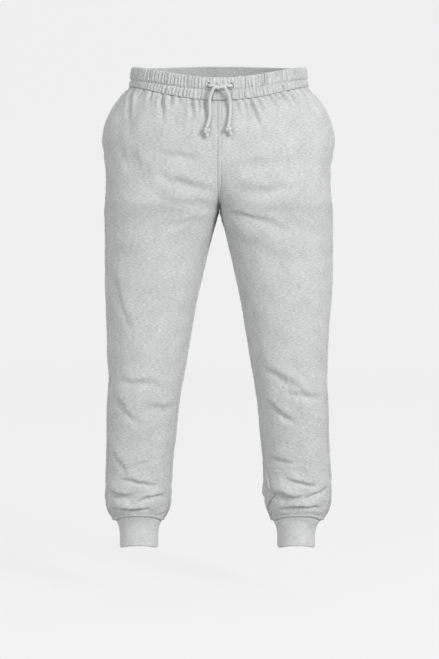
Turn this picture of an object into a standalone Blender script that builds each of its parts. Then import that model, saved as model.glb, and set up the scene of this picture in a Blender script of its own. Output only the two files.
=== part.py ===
"""Jogger sweatpants as worn, each cut and sewn piece its own closed solid.

Metres, +Z up. The front faces -Y and the wearer's left leg is at +X. The origin is the middle of the waist, inside
the waistband. Every size and table below is in millimetres and is scaled once, where a mesh is made.

The cloth follows one surface for each half of the garment. A place on it is given by how far it lies across the
half (0 at the centre-front seam or inseam, 1 at the outseam, 2 at the centre-back seam or inseam) and by its height.
"""
import math
from typing import NamedTuple

import bmesh
import bpy
import numpy as np

MM = 0.001

# Cloth thickness
FLEECE = 2.0
RIB = 2.4
BAG = 1.0
SEAM_GAP = 0.3

# Heights of the waist seam and of the waistband's top edge, at the centre front, the sides and the centre back
SEAM_FRONT, SEAM_SIDE, SEAM_BACK = -48.5, -20.0, -18.0
TOP_FRONT, TOP_SIDE, TOP_BACK = -6.0, 17.0, 24.0
SLANT_END = -150.0

# Crotch: the rise seams meet under the body at CROTCH, and the cleft between the legs fades out CLEFT above it
CROTCH = -252.0
CLEFT = 115.0

# How much squarer each leg's inner half is at the crotch, and how far up and down that fades out
INNER_SQUARE, INNER_SQUARE_REACH = 1.6, 50.0

# Where across a leg its widest points lie, near the outseam and near the inseam
LEG_OUTER_EDGE, LEG_INNER_EDGE = 1.10, -0.11

# Leg ends: the cuff seam and the cuff's hem, at the front, the sides and the back
CUFF_SEAM_FRONT, CUFF_SEAM_SIDE, CUFF_SEAM_BACK = -855.0, -871.0, -866.0
HEM_FRONT, HEM_SIDE, HEM_BACK = -915.0, -924.0, -926.0
SAG_START = -822.0

# Pocket mouth: how far in front of the outseam it starts (in widths of the front), where it ends, how far it gapes
MOUTH_INSET = 0.07
MOUTH_CURVE = 1.35
MOUTH_BOTTOM = -150.0
GAPE = 16.0
GAPE_REACH = 38.0

# Pocket bag: its front fold at the top and bottom (in widths of the front), its room for a hand, its slack away from
# its edges, and where its back comes up flush with the mouth
BAG_FOLD_TOP, BAG_FOLD_BOTTOM = 7 / 12, 0.74
BAG_ROOM = 9.0
BAG_LEAST_ROOM = 1.0
BAG_SLACK, BAG_SLACK_REACH = 4.5, 14.0
BAG_FLUSH_FROM, BAG_FLUSH_OVER = -100.0, 50.0
BAG_LEVELS = (-20, -26, -34, -45, -58, -75, -92, -111, -131, -150, -172, -196, -218, -235, -252, -279, -302)
BAG_NARROWS = -235
BAG_COLUMNS = 6

# Waistband: gathers all round, and how far its two channels puff out of the seam line
BAND_WAVES = 112
CHANNEL_PUFF = (0.3, 2.4, 0.5, 2.7, 0.2)
WAVE_DEPTH = (0.5, 1.0, 0.35, 1.1, 0.5)
STITCH_FRONT, STITCH_SIDE, STITCH_BACK = 0.46, 0.34, 0.42

# Waistband: its inside face, how much calmer its gathers are near the centre front, and how uneven they are
BAND_INSIDE = -2.4
BAND_CALM, BAND_CALM_REACH = 0.8, 0.17
BAND_UNEVEN, BAND_UNEVEN_TURNS = 0.3, (1.7, 0.45)

# Eyelets: half-width and half-height to the middle of the worked edge, the edge's radius, and where each one sits
EYELET_HALF_WIDTH, EYELET_HALF_HEIGHT, EYELET_ROLL = 4.6, 6.2, 0.8
EYELET_POINTS, EYELET_SIDES = 20, 6

CORD_RADIUS = 3.0
KNOT_PLACE = (0.2, -123.6, -23.3)
KNOT_PROFILE = (
    (0.0, 6.2), (4.2, 5.9), (5.6, 4.4), (5.0, 2.9), (6.0, 1.2), (5.9, -1.0), (5.0, -2.9), (5.6, -4.4), (4.2, -5.9),
    (0.0, -6.2),
)
STOP_PROFILE = (
    (0.0, 5.4), (2.8, 5.0), (4.8, 2.9), (5.2, 0.4), (4.9, -2.2), (3.4, -4.4), (2.9, -5.6), (3.3, -8.2), (3.9, -11.0),
    (3.0, -12.6), (0.0, -12.9),
)


class Section(NamedTuple):
    """A level cut: the outer and inner edge of each leg from the middle, the front and back, and the squareness."""

    height: float
    outer_right: float
    inner_right: float
    outer_left: float
    inner_left: float
    front: float
    back: float
    square: float


SECTIONS = (
    Section(30, 162, 0, 160, 0, -105, 98, 2.2),
    Section(16, 166, 0, 164, 0, -107, 100, 2.2),
    Section(0, 168.5, 0, 166, 0, -109, 103, 2.2),
    Section(-20, 172, 0, 169, 0, -112, 108, 2.2),
    Section(-35, 180.5, 0, 176.5, 0, -114, 112, 2.25),
    Section(-50, 187, 0, 183, 0, -115, 116, 2.3),
    Section(-70, 195, 0, 191, 0, -117, 122, 2.35),
    Section(-90, 203, 0, 199, 0, -118, 127, 2.4),
    Section(-110, 212, 0, 208, 0, -119, 131, 2.4),
    Section(-130, 219, 0, 215, 0, -119, 134, 2.4),
    Section(-150, 221, 0, 217, 0, -118, 135, 2.4),
    Section(-175, 218.5, 0, 213, 0, -116, 133, 2.4),
    Section(-205, 218, 0, 213, 0, -113, 128, 2.4),
    Section(-240, 220, 0, 216.5, 0, -109, 121, 2.4),
    Section(-252, 221.5, 0.3, 218, 0.3, -107.5, 118, 2.4),
    Section(-262, 221.8, 3.4, 218.6, 3.0, -106.3, 115.5, 2.4),
    Section(-277, 222, 7.4, 219.4, 6.7, -104.6, 112, 2.35),
    Section(-300, 222, 12.6, 219.7, 11.3, -102.3, 107, 2.3),
    Section(-345, 222.3, 23.2, 220, 21.7, -99, 101, 2.25),
    Section(-392, 222.3, 34.2, 219.5, 32.3, -96, 95, 2.25),
    Section(-440, 221, 45, 217, 42.3, -93, 88, 2.25),
    Section(-485, 219.5, 52.6, 213, 49.5, -90, 80, 2.2),
    Section(-535, 218.5, 61, 211, 58, -86, 72, 2.2),
    Section(-580, 216, 68.8, 209.8, 65.5, -82, 68, 2.2),
    Section(-605, 217.8, 74, 211, 69.7, -79, 68, 2.2),
    Section(-650, 221, 80, 214, 75.4, -71, 72, 2.2),
    Section(-700, 221.8, 85, 215.2, 79.7, -63, 77, 2.2),
    Section(-750, 223.5, 91, 218.6, 85, -55, 81, 2.2),
    Section(-795, 225.5, 94, 221.2, 86.3, -48.5, 84, 2.2),
    Section(-822, 225.8, 94.9, 221.5, 87.2, -43.5, 85, 2.2),
    Section(-834, 224.5, 95.5, 220, 88.8, -39, 85, 2.2),
    Section(-846, 222, 98.1, 217, 92.2, -32.5, 83.5, 2.2),
    Section(-855, 218, 102.5, 212.5, 95.8, -26, 80, 2.15),
    Section(-866.5, 210.3, 110.5, 205.3, 101.2, -20, 72, 2.1),
    Section(-872.5, 204.4, 114.5, 199.4, 106.2, -18.5, 68, 2.1),
    Section(-882.5, 199.9, 119.1, 193.1, 111.7, -17.5, 66, 2.05),
    Section(-900, 197.8, 121.4, 189.8, 114.3, -17, 65, 2.05),
    Section(-930, 198.2, 121.6, 189.9, 114.8, -17, 65, 2.05),
)


class SeamTurn(NamedTuple):
    """How far round to the front of the leg's widest points the outseam and the inseam run, in degrees."""

    height: float
    outseam: float
    inseam_right: float
    inseam_left: float


SEAM_TURNS = (
    SeamTurn(30, 6, 0, 0),
    SeamTurn(-150, 7, 0, 0),
    SeamTurn(-200, 12, 0, 0),
    SeamTurn(-252, 16.5, 0, 0),
    SeamTurn(-300, 20, 15, 15),
    SeamTurn(-600, 22, 20, 18),
    SeamTurn(-735, 24, 20, 20),
    SeamTurn(-766, 24, 20, 31),
    SeamTurn(-793, 24, 21, 42),
    SeamTurn(-808, 23, 21, 47),
    SeamTurn(-822, 23, 21, 38),
    SeamTurn(-840, 22, 22, 28),
    SeamTurn(-862, 22, 22, 25),
    SeamTurn(-930, 22, 22, 24),
)


class Pleat(NamedTuple):
    """A gather below the waist seam: where it starts, how far it drifts across, its length, depth and width."""

    side: int
    across: float
    drift: float
    length: float
    depth: float
    width: float


RIGHT, LEFT = -1, 1

PLEATS = (
    Pleat(RIGHT, 0.110, -0.010, 46, 3.2, 5.5),
    Pleat(RIGHT, 0.175, -0.010, 28, 2.2, 4.5),
    Pleat(RIGHT, 0.225, -0.025, 54, 3.6, 5.5),
    Pleat(RIGHT, 0.330, -0.010, 24, 2.2, 5.0),
    Pleat(RIGHT, 0.400, 0.000, 26, 2.4, 5.0),
    Pleat(RIGHT, 0.490, -0.060, 62, 3.6, 6.0),
    Pleat(RIGHT, 0.590, 0.000, 28, 2.2, 5.0),
    Pleat(RIGHT, 0.835, -0.140, 82, 2.8, 6.0),
    Pleat(RIGHT, 0.908, 0.010, 76, 1.2, 5.0),
    Pleat(RIGHT, 0.700, 0.010, 20, 1.8, 5.0),
    Pleat(LEFT, 0.070, 0.010, 22, 2.0, 4.5),
    Pleat(LEFT, 0.130, 0.015, 30, 2.4, 5.0),
    Pleat(LEFT, 0.195, 0.030, 40, 2.8, 5.0),
    Pleat(LEFT, 0.245, 0.085, 84, 3.8, 6.0),
    Pleat(LEFT, 0.310, 0.030, 32, 2.6, 5.0),
    Pleat(LEFT, 0.420, 0.030, 28, 2.4, 5.0),
    Pleat(LEFT, 0.540, 0.040, 30, 2.4, 5.5),
    Pleat(LEFT, 0.630, 0.030, 24, 2.0, 5.0),
    Pleat(LEFT, 0.790, -0.030, 64, 1.8, 6.0),
)
BACK_PLEATS = 10
BACK_PLEAT_LENGTHS = (34, 56, 26, 44, 30)
BACK_PLEAT_DEPTHS = (2.8, 3.6, 2.2, 3.0, 2.4)


class Crease(NamedTuple):
    """A fold across the cloth: its middle, half-length, rise and bow towards its ends, depth and width."""

    side: int
    across: float
    height: float
    reach: float
    tilt: float
    bow: float
    depth: float
    width: float


CREASES = (
    Crease(RIGHT, 0.275, -154, 0.17, 6, 0, 2.8, 9.0),
    Crease(RIGHT, 0.25, -206, 0.26, 18, 3, 3.8, 10.0),
    Crease(RIGHT, 0.265, -242, 0.2, -1, 0, 2.6, 8.5),
    Crease(RIGHT, 0.373, -279, 0.15, -7, 0, 2.4, 8.5),
    Crease(RIGHT, 0.6, -180, 0.2, 42, 0, 3.4, 30.0),
    Crease(RIGHT, 0.784, -432, 0.16, 70, 0, 2.4, 24.0),
    Crease(RIGHT, 0.8, -338, 0.26, 12, 0, 2.2, 24.0),
    Crease(RIGHT, 0.585, -585, 0.31, 2, -6, 3.8, 8.0),
    Crease(RIGHT, 0.27, -636, 0.25, 3, 0, 3.2, 8.5),
    Crease(RIGHT, 0.7, -643, 0.24, 33, 0, 2.8, 13.0),
    Crease(RIGHT, 0.81, -738, 0.18, 28, 0, 3.8, 10.0),
    Crease(RIGHT, 0.5, -784, 0.25, 8, 0, 4.2, 6.5),
    Crease(RIGHT, 0.77, -812, 0.24, 6, 8, 6.0, 8.5),
    Crease(RIGHT, 0.3, -814, 0.21, -3, -5, 4.8, 6.0),
    Crease(RIGHT, 0.6, -839, 0.3, -1, -2, 6.0, 5.6),
    Crease(LEFT, 0.3, -168, 0.24, 4, 0, 2.0, 12.0),
    Crease(LEFT, 0.32, -219, 0.26, 2, 5, 3.6, 10.5),
    Crease(LEFT, 0.35, -266, 0.23, -24, 0, 4.8, 9.0),
    Crease(LEFT, 0.26, -322, 0.34, -22, 0, 3.2, 26.0),
    Crease(LEFT, 0.42, -578, 0.23, -22, 0, 4.2, 9.5),
    Crease(LEFT, 0.65, -612, 0.23, -7, 2, 3.8, 7.5),
    Crease(LEFT, 0.345, -645, 0.22, -27, 5, 4.4, 8.0),
    Crease(LEFT, 0.32, -742, 0.24, -6, 4, 2.6, 7.5),
    Crease(LEFT, 0.5, -786, 0.22, -8, 0, 4.2, 6.5),
    Crease(LEFT, 0.2, -815, 0.31, -6, 6, 6.0, 9.5),
    Crease(LEFT, 0.7, -807, 0.22, 8, 0, 4.6, 6.0),
    Crease(LEFT, 0.5, -834, 0.31, 2, -6, 6.0, 5.4),
    Crease(RIGHT, 1.45, -560, 0.42, 6, -10, 3.6, 11.0),
    Crease(RIGHT, 1.55, -604, 0.36, -8, -8, 3.4, 10.0),
    Crease(RIGHT, 1.40, -738, 0.34, 6, -7, 3.0, 8.0),
    Crease(RIGHT, 1.56, -788, 0.40, -5, -8, 4.4, 7.0),
    Crease(RIGHT, 1.44, -824, 0.42, 5, -6, 5.4, 7.0),
    Crease(RIGHT, 1.70, -268, 0.26, 22, 0, 3.6, 11.0),
    Crease(LEFT, 1.55, -556, 0.42, -6, -10, 3.6, 11.0),
    Crease(LEFT, 1.42, -600, 0.36, 8, -8, 3.4, 10.0),
    Crease(LEFT, 1.58, -732, 0.34, -6, -7, 3.0, 8.0),
    Crease(LEFT, 1.42, -782, 0.40, 6, -8, 4.4, 7.0),
    Crease(LEFT, 1.55, -820, 0.42, -4, -6, 5.4, 7.0),
    Crease(LEFT, 1.72, -266, 0.26, 22, 0, 3.6, 11.0),
)


class CordPoint(NamedTuple):
    """A point on the middle line of the drawcord."""

    x: float
    y: float
    z: float


# Each end's route from the knot to its stopper, and each half of the bridge from its eyelet to the knot
CORD_ROUTES = {
    "right": (
        CordPoint(-7.4, -127.0, -24.3), CordPoint(-11.0, -127.5, -27.3), CordPoint(-14.2, -126.6, -33.4),
        CordPoint(-16.9, -124.6, -40.0), CordPoint(-18.3, -122.8, -47.5), CordPoint(-18.5, -121.6, -55.5),
        CordPoint(-17.9, -121.3, -64.0), CordPoint(-17.7, -121.6, -73.0), CordPoint(-18.7, -122.0, -82.0),
        CordPoint(-21.0, -122.5, -90.5), CordPoint(-23.9, -123.4, -98.6),
    ),
    "left": (
        CordPoint(7.9, -127.0, -24.4), CordPoint(11.3, -127.5, -27.5), CordPoint(14.2, -126.6, -33.4),
        CordPoint(16.9, -124.6, -40.0), CordPoint(18.6, -122.8, -47.5), CordPoint(19.6, -121.6, -55.5),
        CordPoint(20.1, -121.3, -64.0), CordPoint(20.1, -121.6, -72.0), CordPoint(19.3, -122.0, -80.0),
        CordPoint(18.0, -122.5, -88.0), CordPoint(16.6, -123.4, -95.6),
    ),
}
BRIDGE_ROUTES = {
    "right": (
        CordPoint(-19.5, -115.3, -20.8), CordPoint(-19.4, -117.2, -20.9), CordPoint(-18.2, -119.4, -21.1),
        CordPoint(-15.6, -120.6, -21.5), CordPoint(-11.5, -120.8, -21.9), CordPoint(-6.5, -120.6, -22.2),
    ),
    "left": (
        CordPoint(22.4, -115.3, -21.6), CordPoint(22.3, -117.2, -21.7), CordPoint(21.1, -119.4, -21.8),
        CordPoint(18.4, -120.6, -22.0), CordPoint(13.5, -120.8, -22.1), CordPoint(6.9, -120.6, -22.2),
    ),
}


class Stop(NamedTuple):
    """A stopper knot: where its middle is and how far its tail leans to +X, in degrees."""

    x: float
    y: float
    z: float
    lean: float


STOPS = {"right": Stop(-24.4, -124.4, -104.4, 10), "left": Stop(16.4, -124.4, -101.3, 26)}

# Rows of the panels by nominal height, and the columns across a front or a back. The gathered rows have twice as many.
GATHERED_LEVELS = (-20, -26, -34, -45, -58)
PANEL_LEVELS = (
    -75, -92, -111, -131, -150, -172, -196, -218, -235, -244, -249, -252, -256, -264, -279, -302, -335, -378, -425,
    -480, -535, -582, -622, -660, -695, -727, -750, -768, -784, -797, -807, -817, -826, -834, -842, -849, -855,
)
PANEL_COLUMNS = 12
CUFF_ROWS = (0.0, 0.12, 0.4, 0.75, 1.0)


def eased(t):
    """Smooth step from 0 to 1 as t goes from 0 to 1."""
    t = np.clip(t, 0.0, 1.0)
    return t * t * (3.0 - 2.0 * t)


def through(rows, field):
    """Return a smooth function of height that runs through one column of a table without overshooting it."""
    x = np.array([row.height for row in rows][::-1], float)
    y = np.array([getattr(row, field) for row in rows][::-1], float)
    step = np.diff(x)
    slope = np.diff(y) / step
    tangent = np.zeros(len(x))
    same = slope[:-1] * slope[1:] > 0
    weight_a, weight_b = 2 * step[1:] + step[:-1], step[1:] + 2 * step[:-1]
    with np.errstate(divide="ignore", invalid="ignore"):
        mean = (weight_a + weight_b) / (weight_a / slope[:-1] + weight_b / slope[1:])
    tangent[1:-1] = np.where(same, mean, 0.0)

    def value(height):
        i = np.clip(np.searchsorted(x, height) - 1, 0, len(step) - 1)
        t = np.clip((height - x[i]) / step[i], 0.0, 1.0)
        flat = (1 + 2 * t) * (1 - t) ** 2 * y[i] + t * t * (3 - 2 * t) * y[i + 1]
        return flat + step[i] * (t * (1 - t) ** 2 * tangent[i] - t * t * (1 - t) * tangent[i + 1])

    return value


def round_the_half(across, front, side, back):
    """Blend a value given at the front, side and back of a half: smooth, and level at all three."""
    across = np.asarray(across, float)
    to_side = np.sin(0.5 * math.pi * np.clip(across, 0, 1)) ** 2
    to_back = np.sin(0.5 * math.pi * np.clip(across - 1, 0, 1)) ** 2
    return front + (side - front) * to_side + (back - side) * to_back


def seam_height(across):
    """Height of the waist seam."""
    return round_the_half(across, SEAM_FRONT, SEAM_SIDE, SEAM_BACK)


def top_height(across):
    """Height of the waistband's top edge."""
    return round_the_half(across, TOP_FRONT, TOP_SIDE, TOP_BACK)


def round_the_leg(across, front, side, back):
    """Blend a value given at the middle of the front and of the back of a leg and at its two widest points."""
    across = np.asarray(across, float)
    across = np.where(across > 2 + LEG_INNER_EDGE, across - 2, across)
    on_front = across < LEG_OUTER_EDGE
    from_inner = (across - LEG_INNER_EDGE) / (LEG_OUTER_EDGE - LEG_INNER_EDGE)
    from_outer = (across - LEG_OUTER_EDGE) / (2 + LEG_INNER_EDGE - LEG_OUTER_EDGE)
    middle = np.where(on_front, front, back)
    return middle + (side - middle) * np.abs(np.cos(math.pi * np.where(on_front, from_inner, from_outer))) ** 2.6


def panel_height(level, across):
    """Height of a row of a panel: level in the leg, and bent to the waist seam and the cuff seam at its ends."""
    across = np.asarray(across, float)
    up = np.clip((level - SLANT_END) / (SEAM_SIDE - SLANT_END), 0, 1)
    down = np.clip((SAG_START - level) / (SAG_START - CUFF_SEAM_FRONT), 0, 1)
    sag = round_the_leg(across, CUFF_SEAM_FRONT, CUFF_SEAM_SIDE, CUFF_SEAM_BACK) - CUFF_SEAM_FRONT
    return level + up * (seam_height(across) - SEAM_SIDE) + down * down * sag


def mouth_across(height):
    """How far across the front the pocket mouth's edge lies at a height."""
    up = np.clip((height - MOUTH_BOTTOM) / (SEAM_SIDE - MOUTH_BOTTOM), 0, 1)
    return 1.0 - MOUTH_INSET * up ** MOUTH_CURVE


class Half:
    """The cloth surface of one half of the garment, worked out once on a fine lattice of heights and widths."""

    LATTICE_ACROSS = 121
    RING_STEPS = 260

    def __init__(self, side):
        self.side = side
        word = "right" if side == RIGHT else "left"
        self.outer = through(SECTIONS, f"outer_{word}")
        self.inner = through(SECTIONS, f"inner_{word}")
        self.front = through(SECTIONS, "front")
        self.back = through(SECTIONS, "back")
        self.square = through(SECTIONS, "square")
        self.outseam = through(SEAM_TURNS, "outseam")
        self.inseam = through(SEAM_TURNS, f"inseam_{word}")
        near_crotch = CROTCH + np.array([-6, -3, -1.5, -0.5, 0, 0.2, 0.6, 1.2, 2, 3, 4.5, 6, 9])
        heights = np.concatenate([np.arange(-930, CROTCH - 7, 4.0), near_crotch, np.arange(CROTCH + 12, 31, 3.0)])
        self.heights = np.unique(heights)
        self.across = np.linspace(0, 2, self.LATTICE_ACROSS)
        self.points = np.zeros((len(self.heights), len(self.across), 3))
        self.front_width = np.zeros(len(self.heights))
        self.back_width = np.zeros(len(self.heights))
        for row, height in enumerate(self.heights):
            self.points[row], self.front_width[row], self.back_width[row] = self.ring(height)
        self.normals = self.surface_normals()

    def ring(self, height):
        """Return one level cut of the half, evenly spaced across its front and its back, and their two widths."""
        cleft = 1 - float(eased((height - CROTCH) / CLEFT))
        outer, square = float(self.outer(height)), float(self.square(height))
        inner_square = square + INNER_SQUARE * math.exp(-((height - CROTCH) / INNER_SQUARE_REACH) ** 2)
        if height > CROTCH:
            half_width = outer / (1 + cleft)
            middle = cleft * half_width
            start = math.pi - math.acos(min(1.0, cleft ** (inner_square / 2)))
            turns = (-start, start)
        else:
            inner = float(self.inner(height))
            half_width, middle = (outer - inner) / 2, (outer + inner) / 2
            start = -math.pi + math.radians(float(self.inseam(height)))
            turns = (start, start + 2 * math.pi)
        front, back = float(self.front(height)), float(self.back(height))
        axis = (front + back) / 2
        outseam = -math.radians(float(self.outseam(height)))
        pieces, widths = [], []
        for first, last in ((turns[0], outseam), (outseam, turns[1])):
            turn = np.linspace(first, last, self.RING_STEPS)
            cosine, sine = np.cos(turn), np.sin(turn)
            power = 2 / np.where(cosine < 0, inner_square, square)
            x = middle + half_width * np.sign(cosine) * np.abs(cosine) ** power
            y = axis + (back - front) / 2 * np.sign(sine) * np.abs(sine) ** power
            length = np.concatenate([[0], np.cumsum(np.hypot(np.diff(x), np.diff(y)))])
            even = np.linspace(0, length[-1], (self.LATTICE_ACROSS + 1) // 2)
            pieces.append((np.interp(even, length, x), np.interp(even, length, y)))
            widths.append(length[-1])
        x = np.concatenate([pieces[0][0], pieces[1][0][1:]])
        y = np.concatenate([pieces[0][1], pieces[1][1][1:]])
        x = np.maximum(x, 0.0) + SEAM_GAP / 2
        return np.stack([self.side * x, y, np.full_like(x, height)], axis=1), widths[0], widths[1]

    def surface_normals(self):
        """Return the outward unit normals, with those on the rise seams kept in the garment's middle plane."""
        down = np.gradient(self.points, self.heights, axis=0)
        sideways = np.gradient(self.points, self.across, axis=1)
        normals = np.cross(sideways, down) * self.side
        normals /= np.linalg.norm(normals, axis=2, keepdims=True)
        leg = self.heights < CROTCH
        seam = normals[leg][:, 0] + normals[leg][:, -1]
        seam /= np.linalg.norm(seam, axis=1, keepdims=True)
        normals[leg, 0] = normals[leg, -1] = seam
        reach = 0.06
        for column, facing in ((0, -1.0), (-1, 1.0)):
            lean = np.gradient(self.points[:, column, 1], self.heights)
            plane = np.stack([np.zeros_like(lean), np.full_like(lean, facing), -facing * lean], axis=1)
            plane /= np.linalg.norm(plane, axis=1, keepdims=True)
            plane[self.heights <= CROTCH + 0.1] = (0, 0, -1)
            near = eased(np.abs(self.across - self.across[column]) / reach)[None, :, None]
            blended = plane[:, None, :] * (1 - near) + normals * near
            blended /= np.linalg.norm(blended, axis=2, keepdims=True)
            normals[~leg] = blended[~leg]
        return normals

    def sample(self, lattice, across, height):
        """Read a lattice between its rows and columns."""
        across, height = np.broadcast_arrays(np.asarray(across, float), np.asarray(height, float))
        row = np.clip(np.searchsorted(self.heights, height) - 1, 0, len(self.heights) - 2)
        column = np.clip((across / 2 * (self.LATTICE_ACROSS - 1)).astype(int), 0, self.LATTICE_ACROSS - 2)
        up = (height - self.heights[row]) / (self.heights[row + 1] - self.heights[row])
        on = across / 2 * (self.LATTICE_ACROSS - 1) - column
        up, on = up[..., None], on[..., None]
        low = lattice[row, column] * (1 - on) + lattice[row, column + 1] * on
        high = lattice[row + 1, column] * (1 - on) + lattice[row + 1, column + 1] * on
        return low * (1 - up) + high * up

    def width(self, across, height):
        """Width of the front (across below 1) or of the back at a height."""
        front = np.interp(height, self.heights, self.front_width)
        back = np.interp(height, self.heights, self.back_width)
        return np.where(np.asarray(across) <= 1, front, back)

    def gathers(self, across, height):
        """Depth of the gathers below the waist seam."""
        below = seam_height(across) - height
        total = np.zeros(np.broadcast(across, height).shape)
        for pleat in self.pleats():
            along = below / pleat.length
            line = pleat.across + pleat.drift * along
            off = (across - line) * self.width(across, height) / pleat.width
            rise = 0.55 + 0.45 * eased(below / 14)
            total -= pleat.depth * np.exp(-off * off) * rise * (1 - eased(along))
        return total

    def pleats(self):
        """List this half's gathers: the front ones from the table, the back ones spaced by rule."""
        fronts = [pleat for pleat in PLEATS if pleat.side == self.side]
        backs = []
        for i in range(BACK_PLEATS):
            place = 1.1 + 0.84 * (i + 0.25 * math.sin(2.4 * i + self.side)) / (BACK_PLEATS - 1)
            length = BACK_PLEAT_LENGTHS[(2 * i + (self.side > 0)) % len(BACK_PLEAT_LENGTHS)]
            depth = BACK_PLEAT_DEPTHS[(2 * i + (self.side > 0)) % len(BACK_PLEAT_DEPTHS)]
            backs.append(Pleat(self.side, place, 0.03 * (1.5 - place), length, depth, 6.0))
        return fronts + backs

    def folds(self, across, height):
        """Depth of the creases, each with the fold of cloth that bulges over it."""
        total = np.zeros(np.broadcast(across, height).shape)
        for crease in CREASES:
            if crease.side != self.side:
                continue
            off = across - crease.across
            off = np.where(height < CROTCH, (off + 1) % 2 - 1, off)
            along = off / crease.reach
            line = crease.height + crease.tilt * along + crease.bow * along * along
            over = (height - line) / crease.width
            shape = 0.5 * np.exp(-(((over - 1.9) / 1.25) ** 2)) - np.exp(-over * over)
            total += crease.depth * shape * np.clip(1 - along * along, 0, 1) ** 1.5
        return total

    def relief(self, across, height):
        """How far gathers and folds move the cloth out of its plain surface. The rise seams stay straight."""
        ends = np.minimum(across, 2 - across) / 0.07
        held = np.where(height < CROTCH - 20, 1.0, eased(ends))
        at_cuff = round_the_leg(across, CUFF_SEAM_FRONT, CUFF_SEAM_SIDE, CUFF_SEAM_BACK)
        freed = eased((height - at_cuff) / 9)
        return (self.gathers(across, height) + self.folds(across, height)) * held * freed

    def gape(self, across, height):
        """How far the front stands off the hip near its pocket mouth."""
        down = np.clip((SEAM_SIDE - height) / (SEAM_SIDE - MOUTH_BOTTOM), 0, 1)
        off = (mouth_across(height) - across) * self.width(across, height) / GAPE_REACH
        return GAPE * np.sin(math.pi * down) ** 1.1 * np.exp(-off * off) * (down > 0) * (down < 1)

    def cloth(self, across, height, out=0.0):
        """Points on the surface, moved out along its normal."""
        normal = self.sample(self.normals, across, height)
        normal /= np.linalg.norm(normal, axis=-1, keepdims=True)
        return self.sample(self.points, across, height) + normal * np.asarray(out, float)[..., None]


def material(name, colour, roughness):
    """Plain Principled material."""
    made = bpy.data.materials.new(name)
    made.use_nodes = True
    surface = made.node_tree.nodes["Principled BSDF"]
    surface.inputs["Base Color"].default_value = (*colour, 1.0)
    surface.inputs["Roughness"].default_value = roughness
    surface.inputs["Metallic"].default_value = 0.0
    return made


def add_object(name, mesh, collection, finish):
    """Put a mesh in the collection under its node's name."""
    thing = bpy.data.objects.new(name, mesh)
    mesh.materials.append(finish)
    collection.objects.link(thing)
    return thing


def wall(name, outer, inner, faces, collection, finish):
    """Close an open sheet of cloth into a solid wall: its outer points, its inner points and rims along its edges."""
    sheet = bmesh.new()
    tops = [sheet.verts.new(point * MM) for point in outer]
    bottoms = [sheet.verts.new(point * MM) for point in inner]
    uses = {}
    for face in faces:
        sheet.faces.new([tops[i] for i in face])
        sheet.faces.new([bottoms[i] for i in reversed(face)])
        for a, b in zip(face, face[1:] + face[:1]):
            uses.setdefault(frozenset((a, b)), []).append((a, b))
    for edge in uses.values():
        if len(edge) == 1:
            a, b = edge[0]
            sheet.faces.new([tops[b], tops[a], bottoms[a], bottoms[b]])
    bmesh.ops.recalc_face_normals(sheet, faces=sheet.faces)
    mesh = bpy.data.meshes.new(name)
    sheet.to_mesh(mesh)
    sheet.free()
    mesh.shade_smooth()
    mesh.set_sharp_from_angle(angle=math.radians(50))
    return add_object(name, mesh, collection, finish)


def grid_faces(rows, columns, closed=False, start=0):
    """Faces of a grid of points stored row by row, open or closed round its columns."""
    faces = []
    for row in range(rows - 1):
        for column in range(columns - (not closed)):
            after = (column + 1) % columns
            a, b = start + row * columns, start + (row + 1) * columns
            faces.append((a + column, b + column, b + after, a + after))
    return faces


def stitched_faces(fine_start, coarse_start, coarse_columns):
    """Faces between a row with two cells for each cell of the coarser row below it."""
    faces = []
    for cell in range(coarse_columns):
        a, c = fine_start + 2 * cell, coarse_start + cell
        faces += [(a, c, a + 1), (a + 1, c, c + 1), (a + 1, c + 1, a + 2)]
    return faces


def panel(half, name, is_front, collection, finish):
    """Front or back of one leg, from the waist seam to the cuff seam, with its gathers and folds."""
    across_rows, height_rows = [], []
    fine = 2 * PANEL_COLUMNS
    for index, level in enumerate(GATHERED_LEVELS + PANEL_LEVELS):
        count = fine if index < len(GATHERED_LEVELS) else PANEL_COLUMNS
        rough = panel_height(level, 1.0)
        inset = SEAM_GAP / 2 / half.width(0.5 if is_front else 1.5, rough)
        inner_inset = inset if level <= CROTCH else 0.0
        if is_front:
            first = inner_inset
            last = mouth_across(rough) if level > MOUTH_BOTTOM else 1 - inset
        else:
            first, last = 1 + inset, 2 - inner_inset
        across = np.linspace(first, last, count + 1)
        height = panel_height(level, across)
        height = height - SEAM_GAP * (index == 0)
        across_rows.append(across)
        height_rows.append(height)
    across, height = np.concatenate(across_rows), np.concatenate(height_rows)
    relief = half.relief(across, height)
    if is_front:
        relief = relief + half.gape(across, height)
    outer = half.cloth(across, height, relief)
    inner = half.cloth(across, height, relief - FLEECE)
    plain_start = len(GATHERED_LEVELS) * (fine + 1)
    faces = grid_faces(len(GATHERED_LEVELS), fine + 1)
    faces += stitched_faces(plain_start - fine - 1, plain_start, PANEL_COLUMNS)
    faces += grid_faces(len(PANEL_LEVELS), PANEL_COLUMNS + 1, start=plain_start)
    wall(name, outer, inner, faces, collection, finish)


def ring_solid(name, rings, collection, finish):
    """Solid from rings of points that close on themselves both along and across, such as a tube with a thick wall."""
    count, around = len(rings), len(rings[0])
    solid = bmesh.new()
    verts = [[solid.verts.new(point * MM) for point in ring] for ring in rings]
    for i in range(count):
        for j in range(around):
            a, b = verts[i], verts[(i + 1) % count]
            k = (j + 1) % around
            solid.faces.new([a[j], b[j], b[k], a[k]])
    bmesh.ops.recalc_face_normals(solid, faces=solid.faces)
    mesh = bpy.data.meshes.new(name)
    solid.to_mesh(mesh)
    solid.free()
    mesh.shade_smooth()
    mesh.set_sharp_from_angle(angle=math.radians(50))
    return add_object(name, mesh, collection, finish)


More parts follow.
